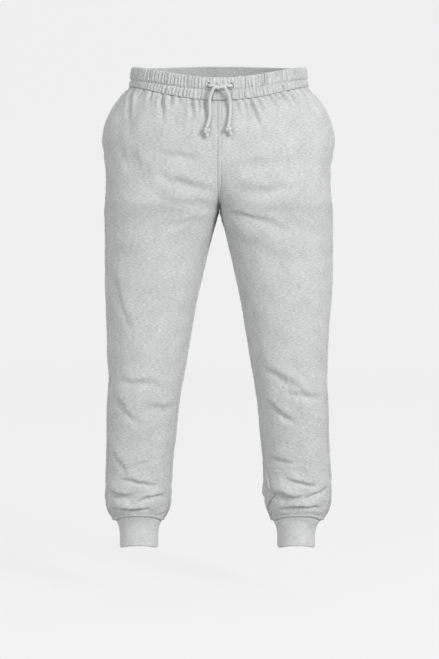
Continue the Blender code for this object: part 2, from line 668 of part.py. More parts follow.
def cuff(half, name, collection, finish):
    """Rib cuff, a tube from the cuff seam to the hem."""
    columns = 2 * PANEL_COLUMNS
    across = np.arange(columns) * 2 / columns
    top = round_the_leg(across, CUFF_SEAM_FRONT, CUFF_SEAM_SIDE, CUFF_SEAM_BACK) - SEAM_GAP
    hem = round_the_leg(across, HEM_FRONT, HEM_SIDE, HEM_BACK)
    inside = np.full(columns, -RIB)
    rings = [half.cloth(across, top + (hem - top) * down) for down in CUFF_ROWS]
    rings += [half.cloth(across, top + (hem - top) * down, inside) for down in CUFF_ROWS[::-1]]
    ring_solid(name, rings, collection, finish)


def band_share(across, height):
    """How far up the waistband a height lies, from 0 at the waist seam to 1 at the top edge."""
    low, high = seam_height(across), top_height(across)
    return (height - low) / (high - low)


def band_stations(across):
    """Where the waistband's rows lie, as shares of its height: seam, channel, stitching, channel, top edge."""
    stitch = round_the_half(across, STITCH_FRONT, STITCH_SIDE, STITCH_BACK)
    return np.stack([0 * stitch, stitch / 2, stitch, (1 + stitch) / 2, 0 * stitch + 1])


def band_puff(across, height):
    """How far the waistband stands out at one place, gathers apart."""
    return float(np.interp(band_share(across, height), band_stations(np.array([across]))[:, 0], CHANNEL_PUFF))


def waistband(halves, collection, finish):
    """Casing in two puffed channels, gathered all round by the elastic inside it."""
    across = (np.arange(BAND_WAVES) + 0.5) * 2 / BAND_WAVES
    column = np.arange(BAND_WAVES)
    calm = 1 - BAND_CALM * np.exp(-((across / BAND_CALM_REACH) ** 2))
    fast, slow = BAND_UNEVEN_TURNS
    low, high = seam_height(across), top_height(across)
    right, left = halves

    def band_ring(share, out_right, out_left):
        height = low + (high - low) * share
        return np.concatenate([right.cloth(across, height, out_right), left.cloth(across, height, out_left)[::-1]])

    rings = []
    for share, puff, wave in zip(band_stations(across), CHANNEL_PUFF, WAVE_DEPTH):
        outs = []
        for half in halves:
            uneven = 1 + BAND_UNEVEN * np.sin(fast * column + half.side) * np.sin(slow * column)
            outs.append(puff + wave * calm * uneven * (-1.0) ** column)
        rings.append(band_ring(share, *outs))
    inside = np.full(BAND_WAVES, BAND_INSIDE)
    rings += [band_ring(1.0, inside, inside), band_ring(0.0, inside, inside)]
    ring_solid("waistband", rings, collection, finish)


def bag_depth(from_edge):
    """How far behind the panel's face the bag's front layer lies, slacker away from the mouth's edge."""
    return FLEECE + SEAM_GAP + BAG_SLACK * np.clip(from_edge / BAG_SLACK_REACH, 0, 1)


def pocket(half, name, collection, finish):
    """Pocket bag hung in the outseam: its back shows in the mouth as a facing, and the bag is open at the mouth."""
    outer, inner, closed = [], [], []
    for level in BAG_LEVELS:
        rough = panel_height(level, 1.0)
        width = float(half.width(0.5, rough))
        inset = SEAM_GAP / 2 / width
        edge = float(mouth_across(rough)) if level > MOUTH_BOTTOM else 1 - inset
        back_end = 1 - inset
        sinking = float(eased((BAG_NARROWS - level) / (BAG_NARROWS - BAG_LEVELS[-1])))
        fold = edge * (BAG_FOLD_TOP + (BAG_FOLD_BOTTOM - BAG_FOLD_TOP) * sinking)
        in_mouth = level > MOUTH_BOTTOM
        closed.append(not in_mouth)
        front = np.linspace(edge, fold, BAG_COLUMNS)
        back = np.linspace(fold, back_end, BAG_COLUMNS)
        hollow = math.sin(math.pi * (SEAM_SIDE - level) / (SEAM_SIDE - BAG_LEVELS[-1])) * BAG_ROOM
        room = BAG_LEAST_ROOM + hollow * np.sin(math.pi * np.clip((back - fold) / (1 - fold), 0, 1))
        front_depth, back_depth = (bag_depth((edge - places) * width) for places in (front, back))
        back_depth = back_depth + BAG + room
        if in_mouth:
            flush = 1 - float(eased((BAG_FLUSH_FROM - level) / BAG_FLUSH_OVER))
            past = np.clip((back - edge) / (back_end - edge), 0, 1) if back_end > edge else 0 * back
            back_depth = back_depth * (1 - past * flush)
        heights = [panel_height(level, places) - SEAM_GAP * (level == BAG_LEVELS[0]) for places in (front, back)]
        gape = half.gape(front, heights[0])
        tuck = BAG / width
        front_in, back_in = front.copy(), back.copy()
        front_in[-1] += tuck
        back_in[0] += tuck
        if not in_mouth:
            front_in[0] -= tuck
            back_in[-1] -= tuck
        lift = BAG * (level == BAG_LEVELS[-1])
        outer.append(half.cloth(front, heights[0], gape - front_depth))
        outer.append(half.cloth(back, heights[1], -back_depth - BAG))
        inner.append(half.cloth(front_in, heights[0] + lift, gape - front_depth - BAG))
        inner.append(half.cloth(back_in, heights[1] + lift, -back_depth))
    ring = 2 * BAG_COLUMNS
    faces = grid_faces(len(BAG_LEVELS), ring)
    for row in range(len(BAG_LEVELS) - 1):
        if closed[row]:
            a, b = row * ring, (row + 1) * ring
            faces.append((a + ring - 1, b + ring - 1, b, a))
    last = (len(BAG_LEVELS) - 1) * ring
    for i in range(BAG_COLUMNS - 1):
        faces.append((last + i, last + ring - 1 - i, last + ring - 2 - i, last + i + 1))
    wall(name, np.concatenate(outer), np.concatenate(inner), faces, collection, finish)


def eyelet(half, name, place, collection, finish):
    """Worked oval edge lying on the waistband round the hole that the drawcord comes out of."""
    width = float(half.width(0.1, place.z))
    middle = abs(place.x) / width
    rings = []
    for i in range(EYELET_POINTS):
        turn = 2 * math.pi * i / EYELET_POINTS
        ring = []
        for j in range(EYELET_SIDES):
            roll = 2 * math.pi * j / EYELET_SIDES
            grow = EYELET_ROLL * math.cos(roll)
            across = middle + (EYELET_HALF_WIDTH + grow) * math.cos(turn) / width
            height = place.z + (EYELET_HALF_HEIGHT + grow) * math.sin(turn)
            out = band_puff(across, height) + WAVE_DEPTH[1] + EYELET_ROLL * (1.2 + math.sin(roll))
            ring.append(half.cloth(across, height, out))
        rings.append(ring)
    ring_solid(name, rings, collection, finish)


def cord(name, route, collection, finish):
    """Round cord along a route, as a bevelled curve with filled ends."""
    line = bpy.data.curves.new(name, "CURVE")
    line.dimensions = "3D"
    line.bevel_depth = CORD_RADIUS * MM
    line.bevel_resolution = 2
    line.use_fill_caps = True
    spline = line.splines.new("POLY")
    points = smooth_route(route)
    spline.points.add(len(points) - 1)
    for point, place in zip(spline.points, points):
        point.co = (*(place * MM), 1.0)
    line.materials.append(finish)
    thing = bpy.data.objects.new(name, line)
    collection.objects.link(thing)


def smooth_route(route, spacing=5.0):
    """Points along a smooth curve through a route, one for each spacing."""
    places = np.array(route, float)
    length = np.concatenate([[0], np.cumsum(np.linalg.norm(np.diff(places, axis=0), axis=1))])
    tangent = np.gradient(places, length, axis=0)
    at = np.linspace(0, length[-1], max(4, round(length[-1] / spacing)) + 1)
    i = np.clip(np.searchsorted(length, at) - 1, 0, len(places) - 2)
    step = (length[i + 1] - length[i])[:, None]
    t = (at - length[i])[:, None] / step
    line = (1 + 2 * t) * (1 - t) ** 2 * places[i] + t * t * (3 - 2 * t) * places[i + 1]
    return line + step * (t * (1 - t) ** 2 * tangent[i] - t * t * (1 - t) * tangent[i + 1])


def turned(name, profile, place, lean, collection, finish):
    """Solid of revolution for a knot: its profile from top to bottom, turned about its own axis and leaned over."""
    mesh = bpy.data.meshes.new(name)
    edges = [(i, i + 1) for i in range(len(profile) - 1)]
    mesh.from_pydata([(radius * MM, 0, height * MM) for radius, height in profile], edges, [])
    thing = add_object(name, mesh, collection, finish)
    screw = thing.modifiers.new("turn", "SCREW")
    screw.steps = screw.render_steps = 12
    screw.use_merge_vertices = True
    screw.merge_threshold = 1e-5
    thing.location = [value * MM for value in place]
    thing.rotation_euler = (0, math.radians(lean), 0)


def main():
    """Build every piece."""
    for thing in list(bpy.data.objects):
        bpy.data.objects.remove(thing)
    collection = bpy.data.collections.new("jogger_sweatpants")
    bpy.context.scene.collection.children.link(collection)
    fleece = material("heather_fleece", (0.57, 0.58, 0.575), 0.95)
    rib = material("heather_rib", (0.55, 0.56, 0.555), 0.95)
    braid = material("braided_cord", (0.60, 0.61, 0.605), 0.9)
    halves = {"right": Half(RIGHT), "left": Half(LEFT)}
    for word, half in halves.items():
        panel(half, f"front_{word}", True, collection, fleece)
        panel(half, f"back_{word}", False, collection, fleece)
        cuff(half, f"cuff_{word}", collection, rib)
        pocket(half, f"pocket_{word}", collection, fleece)
        eyelet(half, f"eyelet_{word}", BRIDGE_ROUTES[word][0], collection, fleece)
        cord(f"drawcord_bridge_{word}", BRIDGE_ROUTES[word], collection, braid)
        cord(f"drawcord_end_{word}", CORD_ROUTES[word], collection, braid)
        stop = STOPS[word]
        turned(f"drawcord_stop_{word}", STOP_PROFILE, stop[:3], -stop.lean, collection, braid)
    waistband(list(halves.values()), collection, fleece)
    turned("drawcord_knot", KNOT_PROFILE, KNOT_PLACE, 90, collection, braid)


if __name__ == "__main__":
    main()
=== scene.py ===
"""Looks of the jogger sweatpants: cloth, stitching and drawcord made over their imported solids.

Metres, +Z up. The front faces -Y and the wearer's left leg is at +X. The tables of the cut are in
millimetres and are scaled by MM where a mesh is made.

The cloth of each half follows one surface. A place on it is given by how far it lies across the half
(0 at the centre front seam or the inseam, 1 at the outseam, 2 at the centre back seam or the inseam)
and by its height.
"""

from __future__ import annotations

import logging
import math
from collections.abc import Callable, Iterator, Sequence
from dataclasses import dataclass, field
from enum import Enum
from functools import partial

import bpy
import numpy as np
from bpy.types import Material, Node, NodeSocket, NodeTree, Object
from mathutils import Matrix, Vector

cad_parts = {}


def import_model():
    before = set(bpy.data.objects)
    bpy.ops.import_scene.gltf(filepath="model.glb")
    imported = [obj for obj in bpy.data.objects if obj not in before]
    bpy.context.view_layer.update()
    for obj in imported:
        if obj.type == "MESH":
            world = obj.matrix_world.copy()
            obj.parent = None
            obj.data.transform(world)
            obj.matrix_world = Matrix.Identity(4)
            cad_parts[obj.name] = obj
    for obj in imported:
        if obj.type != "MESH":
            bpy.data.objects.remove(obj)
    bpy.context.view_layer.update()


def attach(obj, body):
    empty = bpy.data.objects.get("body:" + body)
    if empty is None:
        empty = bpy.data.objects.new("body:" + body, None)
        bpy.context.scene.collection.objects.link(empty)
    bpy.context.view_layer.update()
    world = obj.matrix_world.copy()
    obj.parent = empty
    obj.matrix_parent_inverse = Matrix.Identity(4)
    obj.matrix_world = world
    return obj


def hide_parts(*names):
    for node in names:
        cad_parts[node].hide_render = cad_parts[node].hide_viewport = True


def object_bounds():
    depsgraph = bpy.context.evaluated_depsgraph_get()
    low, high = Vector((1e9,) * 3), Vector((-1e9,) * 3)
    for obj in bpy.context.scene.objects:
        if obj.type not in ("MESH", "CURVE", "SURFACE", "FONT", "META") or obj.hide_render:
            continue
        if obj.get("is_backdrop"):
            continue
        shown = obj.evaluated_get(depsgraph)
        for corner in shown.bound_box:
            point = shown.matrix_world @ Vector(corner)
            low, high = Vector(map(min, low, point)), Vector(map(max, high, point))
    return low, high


LOG = logging.getLogger("jogger_sweatpants")

MM = 0.001
BODY = "root"
CLOTH_MAP = "cloth"

# Shares of broad streaks, fine streaks and patches in the heather, and the sums that give the pure yarns
STREAK_SHARE, FINE_SHARE, PATCH_SHARE = 1.1, 0.45, 0.30
DARK_SUM, LIGHT_SUM = 0.70, 1.16

# Depth of the courses in the knit, and roughness of the nap where it is smoothest
COURSE_DEPTH, NAP_SMOOTHEST = 0.3, 0.86

Array = np.ndarray
Faces = list[tuple[int, ...]]
Place = tuple[float, float, float]
Spacing = tuple[tuple[float, float], ...]
Inputs = bpy.types.bpy_prop_collection


class Side(Enum):
    """A half of the garment, by the wearer's side."""

    RIGHT = -1
    LEFT = 1

    @property
    def word(self) -> str:
        """Name used in nodes and pieces."""
        return self.name.lower()

    @property
    def other(self) -> Side:
        """The other half."""
        return Side(-self.value)


@dataclass(frozen=True)
class Section:
    """A level cut: each leg's outer and inner edge, the front and back, and the squareness."""

    height: float
    outer_right: float
    inner_right: float
    outer_left: float
    inner_left: float
    front: float
    back: float
    square: float


SECTIONS = tuple(Section(*row) for row in (
    (30, 162, 0, 160, 0, -105, 98, 2.2), (16, 166, 0, 164, 0, -107, 100, 2.2),
    (0, 168.5, 0, 166, 0, -109, 103, 2.2), (-20, 172, 0, 169, 0, -112, 108, 2.2),
    (-35, 180.5, 0, 176.5, 0, -114, 112, 2.25), (-50, 187, 0, 183, 0, -115, 116, 2.3),
    (-70, 195, 0, 191, 0, -117, 122, 2.35), (-90, 203, 0, 199, 0, -118, 127, 2.4),
    (-110, 212, 0, 208, 0, -119, 131, 2.4), (-130, 219, 0, 215, 0, -119, 134, 2.4),
    (-150, 221, 0, 217, 0, -118, 135, 2.4), (-175, 218.5, 0, 213, 0, -116, 133, 2.4),
    (-205, 218, 0, 213, 0, -113, 128, 2.4), (-240, 220, 0, 216.5, 0, -109, 121, 2.4),
    (-252, 221.5, 0.3, 218, 0.3, -107.5, 118, 2.4), (-262, 221.8, 3.4, 218.6, 3.0, -106.3, 115.5, 2.4),
    (-277, 222, 7.4, 219.4, 6.7, -104.6, 112, 2.35), (-300, 222, 12.6, 219.7, 11.3, -102.3, 107, 2.3),
    (-345, 222.3, 23.2, 220, 21.7, -99, 101, 2.25), (-392, 222.3, 34.2, 219.5, 32.3, -96, 95, 2.25),
    (-440, 221, 45, 217, 42.3, -93, 88, 2.25), (-485, 219.5, 52.6, 213, 49.5, -90, 80, 2.2),
    (-535, 218.5, 61, 211, 58, -86, 72, 2.2), (-580, 216, 68.8, 209.8, 65.5, -82, 68, 2.2),
    (-605, 217.8, 74, 211, 69.7, -79, 68, 2.2), (-650, 221, 80, 214, 75.4, -71, 72, 2.2),
    (-700, 221.8, 85, 215.2, 79.7, -63, 77, 2.2), (-750, 223.5, 91, 218.6, 85, -55, 81, 2.2),
    (-795, 225.5, 94, 221.2, 86.3, -48.5, 84, 2.2), (-822, 225.8, 94.9, 221.5, 87.2, -43.5, 85, 2.2),
    (-834, 224.5, 95.5, 220, 88.8, -39, 85, 2.2), (-846, 222, 98.1, 217, 92.2, -32.5, 83.5, 2.2),
    (-855, 218, 102.5, 212.5, 95.8, -26, 80, 2.15), (-866.5, 210.3, 110.5, 205.3, 101.2, -20, 72, 2.1),
    (-872.5, 204.4, 114.5, 199.4, 106.2, -18.5, 68, 2.1),
    (-882.5, 199.9, 119.1, 193.1, 111.7, -17.5, 66, 2.05), (-900, 197.8, 121.4, 189.8, 114.3, -17, 65, 2.05),
    (-930, 198.2, 121.6, 189.9, 114.8, -17, 65, 2.05),
))


@dataclass(frozen=True)
class SeamTurn:
    """How far round to the front of the leg's widest points the outseam and the inseam run, in degrees."""

    height: float
    outseam: float
    inseam_right: float
    inseam_left: float


SEAM_TURNS = tuple(SeamTurn(*row) for row in (
    (30, 6, 0, 0), (-150, 7, 0, 0), (-200, 12, 0, 0), (-252, 16.5, 0, 0), (-300, 20, 15, 15),
    (-600, 22, 20, 18), (-735, 24, 20, 20), (-766, 24, 20, 31), (-793, 24, 21, 42), (-808, 23, 21, 47),
    (-822, 23, 21, 38), (-840, 22, 22, 28), (-862, 22, 22, 25), (-930, 22, 22, 24),
))


@dataclass(frozen=True)
class Pleat:
    """A gather below the waist seam: where it starts, its drift across, length, depth and width."""

    across: float
    drift: float
    length: float
    depth: float
    width: float


PLEATS = {
    Side.RIGHT: tuple(Pleat(*row) for row in (
        (0.11, -0.01, 46, 3.2, 5.5), (0.175, -0.01, 28, 2.2, 4.5), (0.225, -0.025, 54, 3.6, 5.5),
        (0.33, -0.01, 24, 2.2, 5.0), (0.4, 0.0, 26, 2.4, 5.0), (0.49, -0.06, 62, 3.6, 6.0),
        (0.59, 0.0, 28, 2.2, 5.0), (0.835, -0.14, 82, 2.8, 6.0), (0.908, 0.01, 76, 1.2, 5.0),
        (0.7, 0.01, 20, 1.8, 5.0),
    )),
    Side.LEFT: tuple(Pleat(*row) for row in (
        (0.07, 0.01, 22, 2.0, 4.5), (0.13, 0.015, 30, 2.4, 5.0), (0.195, 0.03, 40, 2.8, 5.0),
        (0.245, 0.085, 84, 3.8, 6.0), (0.31, 0.05, 44, 3.2, 5.5), (0.365, 0.02, 24, 2.2, 4.5),
        (0.42, 0.08, 52, 3.4, 5.5), (0.48, 0.02, 26, 2.2, 5.0), (0.54, 0.08, 48, 3.2, 5.5),
        (0.63, 0.09, 62, 3.0, 6.0), (0.7, 0.02, 30, 2.2, 5.0), (0.79, 0.02, 64, 2.6, 6.0),
    )),
}

# Gathers of a half's back: how many, where they start, how far they reach, width, and lengths with depths
BACK_PLEATS, BACK_PLEAT_START, BACK_PLEAT_SPAN, BACK_PLEAT_WIDTH = 10, 1.1, 0.84, 6.0
BACK_PLEAT_SIZES = ((34, 2.8), (56, 3.6), (26, 2.2), (44, 3.0), (30, 2.4))


@dataclass(frozen=True)
class Crease:
    """A fold across the cloth: its middle, half-length, rise and bow towards its ends, depth and width."""

    across: float
    height: float
    reach: float
    tilt: float
    bow: float
    depth: float
    width: float


CREASES = {
    Side.RIGHT: tuple(Crease(*row) for row in (
        (0.275, -154, 0.17, 6, 0, 2.8, 9.0), (0.25, -206, 0.26, 18, 3, 3.7, 11.5),
        (0.265, -242, 0.2, -1, 0, 2.6, 10.0), (0.373, -279, 0.15, -7, 0, 2.4, 10.0),
        (0.6, -180, 0.2, 42, 0, 3.4, 30.0), (0.784, -432, 0.16, 70, 0, 2.4, 24.0),
        (0.8, -338, 0.26, 12, 0, 2.2, 24.0), (0.585, -585, 0.31, 2, -6, 3.7, 10.5),
        (0.27, -636, 0.25, 3, 0, 3.2, 11.0), (0.7, -643, 0.24, 33, 0, 2.8, 13.0),
        (0.81, -738, 0.18, 28, 0, 3.8, 10.0), (0.5, -784, 0.25, 8, 0, 4.2, 6.5),
        (0.77, -812, 0.24, 6, 8, 8.0, 8.5), (0.3, -814, 0.21, -3, -5, 4.8, 6.0),
        (0.6, -839, 0.3, -1, -2, 9.5, 5.6), (0.9, -852, 0.12, 7, 0, 1.9, 4.5),
        (0.14, -853, 0.12, -5, 0, 1.8, 4.5), (1.45, -560, 0.42, 6, -10, 3.6, 11.0),
        (1.55, -604, 0.36, -8, -8, 3.4, 10.0), (1.4, -738, 0.34, 6, -7, 3.0, 8.0),
        (1.56, -788, 0.4, -5, -8, 4.4, 7.0), (1.44, -824, 0.42, 5, -6, 5.4, 7.0),
        (1.7, -268, 0.26, 22, 0, 3.6, 11.0),
    )),
    Side.LEFT: tuple(Crease(*row) for row in (
        (0.3, -168, 0.24, 4, 0, 2.0, 12.0), (0.32, -219, 0.26, 2, 5, 3.4, 13.0),
        (0.35, -266, 0.23, -24, 0, 4.2, 12.5), (0.26, -322, 0.34, -22, 0, 3.2, 26.0),
        (0.42, -578, 0.23, -22, 0, 3.9, 12.5), (0.65, -612, 0.23, -7, 2, 3.6, 10.0),
        (0.345, -645, 0.22, -27, 5, 4.1, 10.5), (0.32, -742, 0.24, -6, 4, 2.6, 7.5),
        (0.5, -786, 0.22, -8, 0, 4.2, 6.5), (0.2, -815, 0.31, -6, 6, 8.6, 9.5),
        (0.7, -807, 0.22, 8, 0, 4.6, 6.0), (0.5, -834, 0.31, 2, -6, 6.8, 5.4),
        (0.04, -852, 0.14, -8, 0, 2.6, 4.5), (0.86, -852, 0.12, 7, 0, 1.9, 4.5),
        (1.55, -556, 0.42, -6, -10, 3.6, 11.0), (1.42, -600, 0.36, 8, -8, 3.4, 10.0),
        (1.58, -732, 0.34, -6, -7, 3.0, 8.0), (1.42, -782, 0.4, 6, -8, 4.4, 7.0),
        (1.55, -820, 0.42, -4, -6, 5.4, 7.0), (1.72, -266, 0.26, 22, 0, 3.6, 11.0),
    )),
}

# Routes of the drawcord in millimetres: out of each eyelet to the tie, and from the tie to each stopper knot
BRIDGE_ROUTES = {
    Side.RIGHT: (
        (-19.5, -115.3, -20.8), (-19.4, -117.2, -20.9), (-18.2, -119.4, -21.1), (-15.6, -120.6, -21.5),
        (-11.5, -120.8, -21.9), (-6.5, -120.6, -22.2),
    ),
    Side.LEFT: (
        (22.4, -115.3, -21.6), (22.3, -117.2, -21.7), (21.1, -119.4, -21.8), (18.4, -120.6, -22.0),
        (13.5, -120.8, -22.1), (6.9, -120.6, -22.2),
    ),
}
CORD_ROUTES = {
    Side.RIGHT: (
        (-7.4, -127.0, -24.3), (-11.0, -127.5, -27.3), (-14.2, -126.6, -33.4), (-16.9, -124.6, -40.0),
        (-18.3, -122.8, -47.5), (-18.5, -121.6, -55.5), (-17.9, -121.3, -64.0), (-17.7, -121.6, -73.0),
        (-18.7, -122.0, -82.0), (-21.0, -122.5, -90.5), (-23.9, -123.4, -98.6),
    ),
    Side.LEFT: (
        (7.9, -127.0, -24.4), (11.3, -127.5, -27.5), (14.2, -126.6, -33.4), (16.9, -124.6, -40.0),
        (18.6, -122.8, -47.5), (19.6, -121.6, -55.5), (20.1, -121.3, -64.0), (20.1, -121.6, -72.0),
        (19.3, -122.0, -80.0), (18.0, -122.5, -88.0), (16.6, -123.4, -95.6),
    ),
}
EYELETS = {side: route[0] for side, route in BRIDGE_ROUTES.items()}
KNOT_PLACE = (0.2, -123.6, -23.3)

# Middle of each stopper knot, and how far its tail leans to +X in degrees
STOPS = {Side.RIGHT: (-24.4, -124.4, -104.4, 10), Side.LEFT: (16.4, -124.4, -101.3, 26)}

# Waist seam and top edge of the waistband at the centre front, the sides and the centre back
SEAM_FRONT, SEAM_SIDE, SEAM_BACK = -48.5, -20.0, -18.0
TOP_FRONT, TOP_SIDE, TOP_BACK = -6.0, 17.0, 24.0

# Height where the legs part, and how far above it the cleft between them fades out
CROTCH, CLEFT = -252.0, 115.0

# How much squarer each leg's inner half is at the crotch, and how far up and down that fades out
INNER_SQUARE, INNER_SQUARE_REACH = 1.6, 50.0

# Cuff seam and hem at the front, the sides and the back of a leg, and where the rows above start to sag
CUFF_SEAM_FRONT, CUFF_SEAM_SIDE, CUFF_SEAM_BACK = -855.0, -871.0, -866.0
HEM_FRONT, HEM_SIDE, HEM_BACK = -915.0, -924.0, -926.0
SAG_START = -822.0

# Where across a leg its widest points lie, near the outseam and near the inseam
LEG_OUTER_EDGE, LEG_INNER_EDGE = 1.10, -0.11

# Pocket mouth: how far in front of the outseam it starts, its curve and end, and how far it gapes
MOUTH_INSET, MOUTH_CURVE, MOUTH_BOTTOM = 0.07, 1.35, -150.0
GAPE, GAPE_REACH = 16.0, 38.0

# Thicknesses of the cloths, and the gap between two pieces that are sewn together
FLEECE, RIB, BAG = 2.0, 2.4, 1.0
SEAM_GAP = 0.3

# Swings that make up an uneven wave: speed, shift by the seed, start and height, and all the heights together
SWINGS = ((2.1, 1.7, 0.0, 1.0), (3.7, 5.1, 0.8, 0.7), (6.3, -2.9, 2.2, 0.5))
SWING_HEIGHTS = 2.2


def eased(t: Array | float) -> Array:
    """Smooth step from 0 to 1 as t goes from 0 to 1."""
    t = np.clip(t, 0.0, 1.0)
    return t * t * (3.0 - 2.0 * t)


def bump(x: Array, width: Array | float) -> Array:
    """Bell of height 1 that falls off over a width."""
    return np.exp(-((x / width) ** 2))


def drift(places: Array, seed: float) -> Array:
    """Uneven wave between about -1 and 1, always the same, for cloth that is never quite regular.

    Args:
        places: Where along the wave, one unit to each swing.
        seed: Which of many such waves.

    Returns:
        The wave's height at each place.
    """
    swings = (size * np.sin(speed * places + shift * seed + start) for speed, shift, start, size in SWINGS)
    return sum(swings) / SWING_HEIGHTS


def undulation(along: Array, up: Array, size: float, seed: float) -> Array:
    """Soft unevenness over a surface, in both directions.

    Args:
        along: Distance along the cloth.
        up: Height on the cloth.
        size: Length of a swing.
        seed: Which of many such surfaces.

    Returns:
        Height between about -1 and 1 at each place.
    """
    a, b = along / size, up / size
    total = drift(a + 0.6 * np.sin(b + seed), seed) * drift(b - 0.5 * np.sin(0.9 * a + seed), seed + 3.0)
    return total + 0.5 * drift(0.8 * a + 1.1 * b, seed + 7.0)


def round_the_half(across: Array, front: float, side: float, back: float) -> Array:
    """Blend a value given at the front, side and back of a half, level at all three."""
    across = np.asarray(across, float)
    to_side = np.sin(0.5 * math.pi * np.clip(across, 0, 1)) ** 2
    to_back = np.sin(0.5 * math.pi * np.clip(across - 1, 0, 1)) ** 2
    return front + (side - front) * to_side + (back - side) * to_back


def round_the_leg(across: Array, front: float, side: float, back: float) -> Array:
    """Blend a value given at the middle of a leg's front and of its back and at its two widest points."""
    across = np.asarray(across, float)
    across = np.where(across > 2 + LEG_INNER_EDGE, across - 2, across)
    on_front = across < LEG_OUTER_EDGE
    from_inner = (across - LEG_INNER_EDGE) / (LEG_OUTER_EDGE - LEG_INNER_EDGE)
    from_outer = (across - LEG_OUTER_EDGE) / (2 + LEG_INNER_EDGE - LEG_OUTER_EDGE)
    middle = np.where(on_front, front, back)
    to_edge = np.abs(np.cos(math.pi * np.where(on_front, from_inner, from_outer)))
    return middle + (side - middle) * to_edge**2.6


# Heights round the garment of the waist seam, of the waistband's top edge and of the seams over the cuffs
seam_height = partial(round_the_half, front=SEAM_FRONT, side=SEAM_SIDE, back=SEAM_BACK)
top_height = partial(round_the_half, front=TOP_FRONT, side=TOP_SIDE, back=TOP_BACK)
cuff_seam_height = partial(round_the_leg, front=CUFF_SEAM_FRONT, side=CUFF_SEAM_SIDE, back=CUFF_SEAM_BACK)


def panel_height(level: Array | float, across: Array) -> Array:
    """Height of a panel's row: level in the leg, bent to the waist seam and the cuff seam at its ends."""
    across = np.asarray(across, float)
    up = np.clip((level - MOUTH_BOTTOM) / (SEAM_SIDE - MOUTH_BOTTOM), 0, 1)
    down = np.clip((SAG_START - level) / (SAG_START - CUFF_SEAM_FRONT), 0, 1)
    sag = down * down * (cuff_seam_height(across) - CUFF_SEAM_FRONT)
    return level + up * (seam_height(across) - SEAM_SIDE) + sag


def mouth_across(height: Array | float) -> Array:
    """How far across the front the pocket mouth's edge lies at a height."""
    up = np.clip((height - MOUTH_BOTTOM) / (SEAM_SIDE - MOUTH_BOTTOM), 0, 1)
    return 1.0 - MOUTH_INSET * up**MOUTH_CURVE


def through(rows: Sequence[Section | SeamTurn], column: str) -> Callable[[float], float]:
    """Make a smooth function of height from one column of a table.

    Args:
        rows: The table, highest row first.
        column: Which of its columns.

    Returns:
        A function of height that runs through the column without overshooting it.
    """
    x = np.array([row.height for row in rows][::-1], float)
    y = np.array([getattr(row, column) for row in rows][::-1], float)
    step = np.diff(x)
    slope = np.diff(y) / step
    tangent = np.zeros(len(x))
    before, after = slope[:-1], slope[1:]
    same = before * after > 0
    weight_a, weight_b = 2 * step[1:] + step[:-1], step[1:] + 2 * step[:-1]
    with np.errstate(divide="ignore", invalid="ignore"):
        mean = (weight_a + weight_b) / (weight_a / before + weight_b / after)
    tangent[1:-1] = np.where(same, mean, 0.0)

    def value(height: float) -> float:
        """Read the column at a height."""
        i = np.clip(np.searchsorted(x, height) - 1, 0, len(step) - 1)
        t = np.clip((height - x[i]) / step[i], 0.0, 1.0)
        flat = (1 + 2 * t) * (1 - t) ** 2 * y[i] + t * t * (3 - 2 * t) * y[i + 1]
        return float(flat + step[i] * (t * (1 - t) ** 2 * tangent[i] - t * t * (1 - t) * tangent[i + 1]))

    return value


